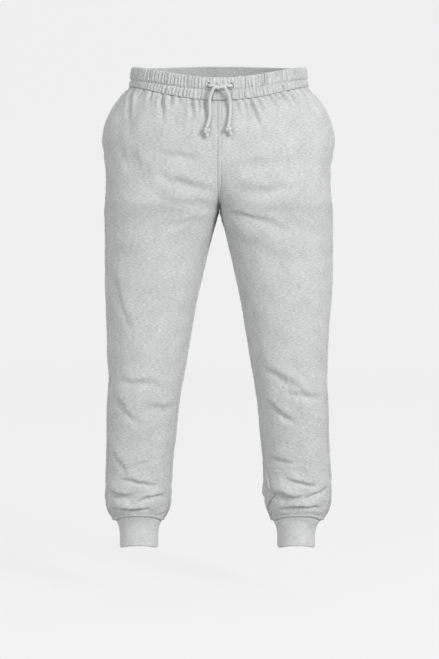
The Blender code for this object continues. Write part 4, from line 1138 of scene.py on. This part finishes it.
@dataclass
class Repeater:
    """Sets one shape along lines with Geometry Nodes, for stitches and for thread wound round an eyelet."""

    name: str
    thread: Material
    spacing: float
    reach: float
    radius: float
    seed: int
    wound: bool = False
    smallest: float = 0.88
    largest: float = 1.1

    def stitch(self, sheet: NodeSheet, given: Inputs) -> Node:
        """Add the shape that is repeated: a loop of thread, or one stitch."""
        if self.wound:
            circle = "GeometryNodeCurvePrimitiveCircle"
            loop, thread = (
                sheet.add(circle, {"mode": "RADIUS"}, Resolution=steps, Radius=given[size]).outputs[0]
                for steps, size in ((10, "Reach"), (6, "Thread"))
            )
            return sheet.add("GeometryNodeCurveToMesh", Curve=loop, Profile_Curve=thread)
        ball = sheet.add("GeometryNodeMeshUVSphere", Segments=7, Rings=5, Radius=1.0)
        size = sheet.add("ShaderNodeCombineXYZ", X=given["Thread"], Y=given["Thread"], Z=given["Reach"])
        return sheet.add("GeometryNodeTransform", Geometry=ball.outputs[0], Scale=size.outputs[0])

    def repeated(self, sheet: NodeSheet, given: Inputs) -> list[NodeSocket]:
        """Lay out the tree: the shape at places along the lines, turned with them and a little uneven."""
        curve = sheet.add("GeometryNodeMeshToCurve", Mesh=given["Lines"]).outputs[0]
        by_length = {"mode": "LENGTH"}
        points = sheet.add("GeometryNodeCurveToPoints", by_length, Curve=curve, Length=given["Spacing"])
        shape = self.stitch(sheet, given)
        uneven = sheet.add("FunctionNodeRandomValue", {"data_type": "FLOAT"}, Seed=given["Seed"])
        sheet.feed(uneven, 2, self.smallest)
        sheet.feed(uneven, 3, self.largest)
        made = sheet.add(
            "GeometryNodeInstanceOnPoints", Points=points.outputs["Points"], Instance=shape.outputs[0],
            Rotation=points.outputs["Rotation"], Scale=uneven.outputs[1],
        )
        for step in ("GeometryNodeRealizeInstances", "GeometryNodeSetShadeSmooth", "GeometryNodeSetMaterial"):
            made = sheet.add(step, Geometry=made.outputs[0])
        sheet.feed(made, "Material", given["Finish"])
        return [made.outputs[0]]

    def along(self, name: str, lines: Sequence[Array]) -> Object:
        """Repeat the shape along some lines and keep the result as a plain mesh.

        Args:
            name: The new piece's name.
            lines: Rows of points in millimetres.

        Returns:
            The finished piece.
        """
        points, edges = [], []
        for line in lines:
            start = len(points)
            points += (line * MM).tolist()
            edges += [(start + i, start + i + 1) for i in range(len(line) - 1)]
        mesh = bpy.data.meshes.new(f"{name}_lines")
        mesh.from_pydata(points, edges, [])
        carrier = added(f"{name}_lines", mesh)
        length = SocketKind.LENGTH
        takes = {
            "Lines": SocketKind.GEOMETRY, "Spacing": length, "Reach": length, "Thread": length,
            "Seed": SocketKind.COUNT, "Finish": SocketKind.FINISH,
        }
        gives = {"Stitches": SocketKind.GEOMETRY}
        modifier = carrier.modifiers.new("repeat", "NODES")
        modifier.node_group = shared_tree(self.name, "GeometryNodeTree", takes, gives, self.repeated)
        values = {
            "Spacing": self.spacing * MM, "Reach": self.reach * MM, "Thread": self.radius * MM,
            "Seed": self.seed, "Finish": self.thread,
        }
        for item in modifier.node_group.interface.items_tree:
            if item.name in values:
                modifier[item.identifier] = values[item.name]
        done = bpy.data.meshes.new_from_object(carrier.evaluated_get(bpy.context.evaluated_depsgraph_get()))
        done.name = name
        bpy.data.objects.remove(carrier)
        return added(name, done)


@dataclass
class Stitching:
    """Rows of topstitching over the seams, in thread of the cloth's own colour."""

    drapes: tuple[Drape, Drape]
    band: Waistband
    thread: Material
    spacing: float = 3.1
    length: float = 2.3
    radius: float = 0.30
    waist_rows: Spacing = ((1.9, 0.918), (6.6, 0.925))
    cuff_rows: tuple[float, ...] = (2.0, 5.6)
    rise_row: float = 1.3
    mouth_row: float = 6.5
    lift: float = 0.08

    def panel_rows(self, surface: HalfSurface) -> Iterator[tuple[str, bool, Array, Array]]:
        """List each row on a half's panels: its piece, whether it is on the front, and its places."""
        for below, mouth in self.waist_rows:
            panels = ((True, np.linspace(0.006, mouth, 150)), (False, np.linspace(1.01, 1.994, 170)))
            for front, across in panels:
                yield "waist_seam_topstitch", front, across, seam_height(across) - below
        for front, top in ((True, SEAM_FRONT), (False, SEAM_BACK)):
            height = np.linspace(top - 9, CROTCH + 4, 130)
            inset = self.rise_row / surface.width(0.5 if front else 1.5, height)
            yield "rise_topstitch", front, inset if front else 2 - inset, height
        height = np.linspace(SEAM_SIDE - 9, MOUTH_BOTTOM - 5, 80)
        edge = np.where(height > MOUTH_BOTTOM, mouth_across(height), 1.0)
        yield "pocket_mouth_topstitch", True, edge - self.mouth_row / surface.width(0.5, height), height
        for above in self.cuff_rows:
            for front, start in ((True, 0.0), (False, 1.0)):
                across = np.linspace(start + 0.012, start + 0.988, 110)
                yield "cuff_seam_topstitch", front, across, cuff_seam_height(across) + above

    def build(self) -> list[Object]:
        """Build the rows, one piece for each part of the garment that has them, and return them."""
        lines: dict[str, list[Array]] = {}
        for drape in self.drapes:
            for name, front, across, height in self.panel_rows(drape.surface):
                out = drape.surface_out(across, height, front) + self.lift
                lines.setdefault(name, []).append(drape.surface.cloth(across, height, out))
        lines["waistband_channel_stitch"] = [self.band.stitch_line(drape.surface) for drape in self.drapes]
        repeater = Repeater("stitch_row", self.thread, self.spacing, self.length / 2, self.radius, 11)
        return [repeater.along(name, rows) for name, rows in lines.items()]


@dataclass
class WorkedEyelet:
    """Oval buttonhole worked in close-wound thread round the hole for the drawcord."""

    half: HalfSurface
    band: Waistband
    thread: Material
    half_width: float = 4.6
    half_height: float = 6.2
    lift: float = 0.35
    wrap: float = 0.95
    wrap_thread: float = 0.34
    pitch: float = 0.66

    def build(self) -> Object:
        """Build the eyelet and return it."""
        place = EYELETS[self.half.side]
        width = float(self.half.width(0.1, place[2]))
        turn = np.linspace(0, 2 * math.pi, 73)
        across = (abs(place[0]) + self.half_width * np.cos(turn)) / width
        height = place[2] + self.half_height * np.sin(turn)
        low = seam_height(across)
        share = (height - low) / (top_height(across) - low)
        line = self.half.cloth(across, height, self.band.out(self.half, across, share) + self.lift)
        winder = Repeater("wound_thread", self.thread, self.pitch, self.wrap, self.wrap_thread, 5, wound=True)
        return winder.along(f"eyelet_{self.half.side.word}_worked_edge", [line])


def smooth_route(route: Array, spacing: float) -> Array:
    """Points at an even spacing along a rounded curve through a route.

    Args:
        route: The route's points.
        spacing: Distance between the new points.

    Returns:
        The new points, from the first to the last of the route.
    """
    padded = np.vstack([2 * route[0] - route[1], route, 2 * route[-1] - route[-2]])
    fine = []
    for i in range(1, len(padded) - 2):
        a, b, c, d = padded[i - 1 : i + 3]
        t = np.linspace(0, 1, 24, endpoint=False)[:, None]
        squared, cubed = 2 * a - 5 * b + 4 * c - d, 3 * b - a - 3 * c + d
        fine.append(0.5 * (2 * b + (c - a) * t + squared * t**2 + cubed * t**3))
    fine = np.vstack(fine + [route[-1:]])
    length = np.concatenate([[0], np.cumsum(np.linalg.norm(np.diff(fine, axis=0), axis=1))])
    even = np.linspace(0, length[-1], max(2, int(round(length[-1] / spacing)) + 1))
    return np.stack([np.interp(even, length, fine[:, i]) for i in range(3)], axis=1)


@dataclass
class Drawcord:
    """Braided drawcord: out of the eyelets, tied once in front, with a stopper knot on each hanging end."""

    finish: Material
    radius: float = 3.0
    sides: int = 28
    step: float = 0.55
    braid: float = 0.16
    carriers: int = 8
    lay: float = 9.0
    knot_radius: float = 2.5
    knot_size: Place = (4.8, 3.1, 4.3)
    knot_lean: float = 0.5
    stop_radius: float = 2.65
    stop_size: Place = (3.5, 3.0, 3.7)
    tail_radius: float = 2.75
    whipping: float = 0.7
    trimmed: float = 1.1

    def tube(self, name: str, path: Array, radii: Array | float, closed: bool = False) -> Object:
        """Braided tube along a path, with the strands of its braid standing out.

        Args:
            name: The piece's name.
            path: Points along its middle, in millimetres.
            radii: Its radius, or its radius at each point.
            closed: Whether the path runs back to its start.

        Returns:
            The finished piece, with a map of its length and its way round.
        """
        radii = np.broadcast_to(radii, len(path))
        ahead = np.roll(path, -1, axis=0) - np.roll(path, 1, axis=0)
        if not closed:
            ahead[0], ahead[-1] = path[1] - path[0], path[-1] - path[-2]
        ahead /= np.linalg.norm(ahead, axis=1, keepdims=True)
        sideways = np.zeros_like(path)
        carried = np.cross(ahead[0], (0.31, 0.2, 0.93))
        for i, way in enumerate(ahead):
            carried = carried - way * np.dot(carried, way)
            carried /= np.linalg.norm(carried)
            sideways[i] = carried
        upwards = np.cross(ahead, sideways)
        length = np.concatenate([[0], np.cumsum(np.linalg.norm(np.diff(path, axis=0), axis=1))])
        turn = np.arange(self.sides) * 2 * math.pi / self.sides
        around = self.carriers * turn / (2 * math.pi)
        u, v = np.meshgrid(self.carriers * length / self.lay, around, indexing="ij")
        over = 0.5 + 0.5 * np.cos(2 * math.pi * u) * np.cos(2 * math.pi * v)
        one, other = (np.abs(np.cos(math.pi * way)) for way in (u + v, u - v))
        grow = radii[:, None] + self.braid * (2 * np.maximum(one * over, other * (1 - over)) - 1)
        cosine, sine = np.cos(turn)[None, :, None], np.sin(turn)[None, :, None]
        ring = cosine * sideways[:, None] + sine * upwards[:, None]
        points = (path[:, None] + ring * grow[..., None]).reshape(-1, 3)
        faces = grid_faces(len(path), self.sides, round_rows=closed, round_columns=True)
        across, along = np.meshgrid(turn * float(np.mean(radii)), length)
        if not closed:
            faces.append(tuple(range(self.sides)))
            faces.append(tuple(len(points) - 1 - i for i in range(self.sides)))
        flat = np.stack([across, along], axis=-1).reshape(-1, 2)
        return finished_mesh(name, points, faces, flat, self.finish)

    def tied(self, start: Side) -> Array:
        """Route of the cord from one eyelet: through the tie in the middle and down on the other side."""
        return smooth_route(np.array(BRIDGE_ROUTES[start] + CORD_ROUTES[start.other], float), self.step)

    def knot(self, name: str, middle: Place, size: Place, lean: float, radius: float) -> Object:
        """Build a compact knot, one closed turn of cord that crosses itself three times.

        Args:
            name: The piece's name.
            middle: Where it is, in millimetres.
            size: How far it reaches to each side, to front and back, and up and down.
            lean: How far it leans to +X, in radians.
            radius: The cord's radius in it.

        Returns:
            The finished piece.
        """
        turn = np.linspace(0, 2 * math.pi, 90, endpoint=False)
        x = (np.sin(turn) + 2 * np.sin(2 * turn)) / 2.6 * size[0]
        z = (np.cos(turn) - 2 * np.cos(2 * turn)) / 2.6 * size[2]
        cosine, sine = math.cos(lean), math.sin(lean)
        spun = np.stack([x * cosine + z * sine, -np.sin(3 * turn) * size[1], z * cosine - x * sine], axis=1)
        return self.tube(name, spun + np.array(middle), radius, closed=True)

    def tail(self, name: str, middle: Place, lean: float) -> Object:
        """Build the short end of cord below a stopper knot, whipped and trimmed."""
        along = np.concatenate([np.arange(0, 12.3, self.step), [12.6, 12.8, 12.9]])
        path = np.array(middle) + np.array([math.sin(lean), 0, -math.cos(lean)]) * along[:, None]
        fraying = self.whipping * eased((along - 5) / 6) - self.trimmed * eased((along - 11.6) / 1.3)
        return self.tube(name, path, self.tail_radius + fraying)

    def build(self) -> dict[str, Object]:
        """Build the cord's pieces and return them by name."""
        made = [self.tube(f"drawcord_from_{side.word}_eyelet", self.tied(side), self.radius) for side in Side]
        for side in Side:
            middle, lean = STOPS[side][:3], math.radians(STOPS[side][3])
            knot = (middle, self.stop_size, lean, self.stop_radius)
            made.append(self.knot(f"drawcord_stop_{side.word}_knot", *knot))
            made.append(self.tail(f"drawcord_tail_{side.word}", middle, lean))
        knot = (KNOT_PLACE, self.knot_size, self.knot_lean, self.knot_radius)
        made.append(self.knot("drawcord_tied_knot", *knot))
        return {piece.name: piece for piece in made}


def heather_yarn() -> NodeTree:
    """Node group for streaks of lighter and darker fibre along the knit, over faint broad patches."""

    def fill(sheet: NodeSheet, given: Inputs) -> list[NodeSocket]:
        """Lay the group out."""
        size = sheet.add("ShaderNodeCombineXYZ", X=given["Streak Length"], Y=given["Streak Width"], Z=1.0)
        streaked = sheet.add("ShaderNodeVectorMath", {"operation": "DIVIDE"})
        sheet.feed(streaked, 0, given["Cloth"])
        sheet.feed(streaked, 1, size.outputs[0])
        streaks = sheet.noise(streaked.outputs[0], 1.0, 2.0, 0.55)
        finer = sheet.noise(streaked.outputs[0], 3.1, 1.0, 0.6)
        patches = sheet.noise(given["Cloth"], sheet.math("DIVIDE", 1.0, given["Patch Size"]), 2.0)
        total = sheet.math("MULTIPLY_ADD", finer, FINE_SHARE, sheet.math("MULTIPLY", streaks, STREAK_SHARE))
        total = sheet.math("MULTIPLY_ADD", patches, PATCH_SHARE, total)
        spread = sheet.add("ShaderNodeMapRange", Value=total, From_Min=DARK_SUM, From_Max=LIGHT_SUM)
        return [sheet.mixed(spread.outputs[0], given["Dark Yarn"], given["Light Yarn"])]

    colour, length = SocketKind.COLOUR, SocketKind.LENGTH
    takes = {
        "Cloth": SocketKind.PLACE, "Light Yarn": colour, "Dark Yarn": colour,
        "Streak Length": length, "Streak Width": length, "Patch Size": length,
    }
    return shared_tree("heather_yarn", "ShaderNodeTree", takes, {"Colour": colour}, fill)


def knit_loops() -> NodeTree:
    """Node group for the height of the knit: columns of slanted loops, a little uneven."""

    def fill(sheet: NodeSheet, given: Inputs) -> list[NodeSocket]:
        """Lay the group out."""
        apart = sheet.add("ShaderNodeSeparateXYZ", Vector=given["Cloth"])
        column = sheet.math("DIVIDE", apart.outputs[0], given["Wale"])
        row = sheet.math("DIVIDE", apart.outputs[1], given["Course"])
        leg = sheet.math("ABSOLUTE", sheet.math("SINE", sheet.math("MULTIPLY", column, math.pi)))
        slant = sheet.math("PINGPONG", column, 0.5)
        course = sheet.math("SINE", sheet.math("MULTIPLY", sheet.math("ADD", row, slant), 2 * math.pi))
        course = sheet.math("MULTIPLY_ADD", course, COURSE_DEPTH, 1 - COURSE_DEPTH)
        return [sheet.math("MULTIPLY", leg, course)]

    takes = {"Cloth": SocketKind.PLACE, "Wale": SocketKind.LENGTH, "Course": SocketKind.LENGTH}
    return shared_tree("knit_loops", "ShaderNodeTree", takes, {"Height": SocketKind.LENGTH}, fill)


def brushed_nap() -> NodeTree:
    """Node group for the soft uneven surface of worn jersey: a height and a roughness."""

    def fill(sheet: NodeSheet, given: Inputs) -> list[NodeSocket]:
        """Lay the group out."""
        fluff = sheet.noise(given["Cloth"], sheet.math("DIVIDE", 1.0, given["Size"]), 3.0, 0.65)
        limits = {"From_Min": 0.3, "From_Max": 0.7, "To_Min": NAP_SMOOTHEST, "To_Max": 1.0}
        return [fluff, sheet.add("ShaderNodeMapRange", Value=fluff, **limits).outputs[0]]

    length = SocketKind.LENGTH
    takes, gives = {"Cloth": SocketKind.PLACE, "Size": length}, {"Height": length, "Roughness": length}
    return shared_tree("brushed_nap", "ShaderNodeTree", takes, gives, fill)


def new_material(name: str, **shader_inputs: object) -> tuple[Material, NodeSheet, Node]:
    """Make a material: itself, the sheet of its tree and its shader, with some of the shader's values."""
    made = bpy.data.materials.new(name)
    made.use_nodes = True
    sheet, shader = NodeSheet(made.node_tree), made.node_tree.nodes["Principled BSDF"]
    for socket, value in shader_inputs.items():
        sheet.feed(shader, socket.replace("_", " "), value)
    return made, sheet, shader


@dataclass(frozen=True)
class ClothFinish:
    """A heathered cotton finish: its two yarn colours, its streaks and the size of its loops, in metres."""

    name: str
    light: Place
    dark: Place
    streak_length: float = 0.009
    streak_width: float = 0.0013
    patch: float = 0.035
    wale: float = 0.0011
    course: float = 0.0009
    loop_depth: float = 0.00022
    nap_size: float = 0.0035
    nap_depth: float = 0.0005
    sheen: float = 0.12

    def build(self) -> Material:
        """Build the material and return it."""
        made, sheet, shader = new_material(
            self.name, Sheen_Weight=self.sheen, Sheen_Roughness=0.6, Specular_IOR_Level=0.25,
        )
        cloth = sheet.add("ShaderNodeUVMap", {"uv_map": CLOTH_MAP}).outputs[0]

        def group(tree: NodeTree, **inputs: object) -> bpy.types.NodeOutputs:
            """Add a shared group on the cloth's map and return what it gives."""
            return sheet.add("ShaderNodeGroup", {"node_tree": tree}, Cloth=cloth, **inputs).outputs

        heather = group(
            heather_yarn(), Light_Yarn=(*self.light, 1.0), Dark_Yarn=(*self.dark, 1.0),
            Streak_Length=self.streak_length, Streak_Width=self.streak_width, Patch_Size=self.patch,
        )
        loops = group(knit_loops(), Wale=self.wale, Course=self.course)
        nap = group(brushed_nap(), Size=self.nap_size)
        soft = sheet.add("ShaderNodeBump", Height=nap["Height"], Distance=self.nap_depth, Strength=1.0)
        knit = sheet.add("ShaderNodeBump", Height=loops["Height"], Distance=self.loop_depth, Strength=1.0)
        sheet.feed(knit, "Normal", soft.outputs[0])
        sheet.feed(shader, "Base Color", heather["Colour"])
        sheet.feed(shader, "Roughness", nap["Roughness"])
        sheet.feed(shader, "Normal", knit.outputs[0])
        return made


@dataclass(frozen=True)
class ThreadFinish:
    """Sewing thread, with its twist read from the piece's own place."""

    name: str
    colour: Place
    shade: float = 0.82
    fibre: float = 0.0009
    twist_depth: float = 0.0002

    def build(self) -> Material:
        """Build the material and return it."""
        made, sheet, shader = new_material(self.name, Sheen_Weight=0.1)
        fibres = sheet.noise(sheet.add("ShaderNodeTexCoord").outputs["Object"], 1 / self.fibre, 2.0)
        shaded = (*[value * self.shade for value in self.colour], 1.0)
        rough = sheet.add("ShaderNodeMapRange", Value=fibres, To_Min=0.7, To_Max=0.95)
        bumps = sheet.add("ShaderNodeBump", Height=fibres, Distance=self.twist_depth, Strength=0.6)
        sheet.feed(shader, "Base Color", sheet.mixed(fibres, shaded, (*self.colour, 1.0)))
        sheet.feed(shader, "Roughness", rough.outputs[0])
        sheet.feed(shader, "Normal", bumps.outputs[0])
        return made


@dataclass(frozen=True)
class Lamp:
    """A soft square light: its name, place, size and power."""

    name: str
    place: Place
    size: float
    power: float

    def hang(self, target: Place) -> None:
        """Hang the light, aimed at a place."""
        data = bpy.data.lights.new(self.name, "AREA")
        data.shape, data.size, data.energy = "SQUARE", self.size, self.power
        made = added(self.name, data)
        made.location = self.place
        made.rotation_euler = (Vector(target) - Vector(self.place)).to_track_quat("-Z", "Y").to_euler()


@dataclass(frozen=True)
class Studio:
    """Camera, lights and the pale sweep of paper that the garment hangs in front of."""

    camera_place: Place = (0.0, -3.4, -0.15)
    camera_pitch: float = 5.685
    lens: float = 95.72
    lamps: tuple[Lamp, ...] = (
        Lamp("key_light", (3.0, -3.3, 1.5), 1.6, 168), Lamp("fill_light", (-1.9, -3.3, -0.2), 1.6, 44),
    )
    target: Place = (0, 0, -0.45)
    floor: float = -1.03
    paper_bend: float = 1.2
    paper_back: float = 4.6
    paper_near: float = -9.0
    paper_top: float = 5.0
    paper_side: float = 7.0
    paper: Place = (0.12, 0.12, 0.121)
    glow: float = 0.775
    ground_glow: float = 0.35
    sky_glow: float = 0.68

    def camera(self) -> None:
        """Place the camera and make it the scene's."""
        data = bpy.data.cameras.new("camera")
        data.lens, data.sensor_width, data.sensor_fit = self.lens, 36.0, "AUTO"
        data.clip_start, data.clip_end = 0.05, 60.0
        made = added("camera", data)
        made.location = self.camera_place
        made.rotation_euler = (math.radians(90 - self.camera_pitch), 0, 0)
        bpy.context.scene.camera = made

    def sweep(self) -> Object:
        """Build floor and wall in one curved sheet of paper and return it."""
        turn, bend, back = np.linspace(0, math.pi / 2, 24), self.paper_bend, self.paper_back
        y = np.concatenate([[self.paper_near, -4, -1], back - bend + bend * np.sin(turn), [back]])
        z = np.concatenate([[0, 0, 0], bend - bend * np.cos(turn), [self.paper_top]]) + self.floor
        points = [(x, a, b) for a, b in zip(y, z) for x in (-self.paper_side, self.paper_side)]
        mesh = bpy.data.meshes.new("paper_sweep")
        mesh.from_pydata(points, [], [(2 * i, 2 * i + 1, 2 * i + 3, 2 * i + 2) for i in range(len(y) - 1)])
        mesh.shade_smooth()
        paper, _, _ = new_material(
            "paper", Base_Color=(*self.paper, 1), Roughness=1.0, Specular_IOR_Level=0.0,
            Emission_Color=(1, 1, 1, 1), Emission_Strength=self.glow,
        )
        mesh.materials.append(paper)
        made = added("paper_sweep", mesh)
        made.visible_diffuse = False
        return made

    def build(self) -> None:
        """Set up everything but the camera."""
        scene = bpy.context.scene
        scene.view_settings.view_transform = "Standard"
        scene.world = bpy.data.worlds.new("studio")
        scene.world.use_nodes = True
        sheet = NodeSheet(scene.world.node_tree)
        sky = sheet.tree.nodes["Background"]
        direction = sheet.add("ShaderNodeTexCoord").outputs["Generated"]
        up = sheet.add("ShaderNodeSeparateXYZ", Vector=direction).outputs["Z"]
        limits = {"From_Min": -1, "From_Max": 1, "To_Min": self.ground_glow, "To_Max": self.sky_glow}
        sheet.feed(sky, "Color", (1, 1, 1, 1))
        sheet.feed(sky, "Strength", sheet.add("ShaderNodeMapRange", Value=up, **limits).outputs["Result"])
        for lamp in self.lamps:
            lamp.hang(self.target)
        self.sweep()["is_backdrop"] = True


FLEECE_FINISH = ClothFinish("heather_fleece", (0.64, 0.655, 0.65), (0.40, 0.41, 0.407), streak_length=0.007)
# The rib's yarns are lighter than the fleece's. This is painted light: it offsets the shade that falls on the
# cuffs under the leg's bulge.
RIB_FINISH_WITH_PAINTED_LIGHT = ClothFinish("heather_rib", (0.72, 0.735, 0.73), (0.50, 0.51, 0.507), loop_depth=0.0003)
CORD_FINISH = ClothFinish(
    "braided_cord", (0.68, 0.69, 0.685), (0.52, 0.53, 0.525), streak_length=0.0012, streak_width=0.004,
    patch=0.02, wale=0.0009, course=0.0013, loop_depth=0.00025, nap_size=0.0015, nap_depth=0.0002,
)
THREAD_FINISH = ThreadFinish("sewing_thread", (0.72, 0.735, 0.73))


@dataclass
class Joggers:
    """The whole garment, built from its pieces."""

    surfaces: dict[Side, HalfSurface] = field(
        default_factory=lambda: {side: HalfSurface(side) for side in Side},
    )

    def build(self) -> None:
        """Build every piece."""
        fleece, rib, braid, thread = (
            finish.build() for finish in (FLEECE_FINISH, RIB_FINISH_WITH_PAINTED_LIGHT, CORD_FINISH, THREAD_FINISH)
        )
        drapes = {side: Drape(surface) for side, surface in self.surfaces.items()}
        self.drawcord(Drawcord(braid))
        band = Waistband((self.surfaces[Side.RIGHT], self.surfaces[Side.LEFT]), fleece)
        casing = self.wear(band.build(), "heather_fleece", "waistband")
        rows = Stitching((drapes[Side.RIGHT], drapes[Side.LEFT]), band, thread).build()
        for side in Side:
            eyelet = WorkedEyelet(self.surfaces[side], band, thread).build()
            self.wear(eyelet, "heather_fleece", f"eyelet_{side.word}")
        for row in rows:
            self.wear(row, "heather_fleece")
        for side in Side:
            self.half(drapes[side], fleece, rib, casing)

    def wear(self, piece: Object, slot: str, *nodes: str) -> Object:
        """Ride a piece on the garment's body and let it stand for its solids."""
        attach(piece, BODY)
        if nodes:
            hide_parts(*nodes)
        LOG.info("%s: %d faces", piece.name, len(piece.data.polygons))
        return piece

    def drawcord(self, cord: Drawcord) -> None:
        """Build the drawcord and ride its pieces on the garment's body."""
        pieces = cord.build()
        for start in Side:
            end = start.other.word
            tied = self.wear(
                pieces[f"drawcord_from_{start.word}_eyelet"], "braided_cord",
                f"drawcord_bridge_{start.word}", f"drawcord_end_{end}",
            )
            stop = self.wear(pieces[f"drawcord_stop_{end}_knot"], "braided_cord", f"drawcord_stop_{end}")
            on_it = [stop, self.wear(pieces[f"drawcord_tail_{end}"], "braided_cord")]
            if start is Side.RIGHT:
                on_it.append(self.wear(pieces["drawcord_tied_knot"], "braided_cord", "drawcord_knot"))
            path = cord.tied(start)

    def half(self, drape: Drape, fleece: Material, rib: Material, casing: Object) -> None:
        """Args:
            drape: The half's folds and surface.
            fleece: The finish of the panels and the bag.
            rib: The finish of the cuff, lightened with painted light.
            casing: Not used.
        """
        word = drape.surface.side.word
        front = self.wear(LegPanel(drape, True, fleece).build(), "heather_fleece", f"front_{word}")
        back = self.wear(LegPanel(drape, False, fleece).build(), "heather_fleece", f"back_{word}")
        cuff = self.wear(RibCuff(drape.surface, rib).build(), "heather_rib", f"cuff_{word}")
        bag = self.wear(PocketBag(drape, fleece).build(), "heather_fleece", f"pocket_{word}")


def corners() -> list[list[float]]:
    """Read the two corners of the box round all that shows."""
    return [[float(value) for value in corner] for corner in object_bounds()]


def main() -> None:
    """Load the frame, and build the garment and its studio."""
    logging.basicConfig(level=logging.INFO, format="%(name)s: %(message)s")
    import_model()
    studio = Studio()
    studio.camera()
    Joggers().build()
    studio.build()


if __name__ == "__main__":
    main()
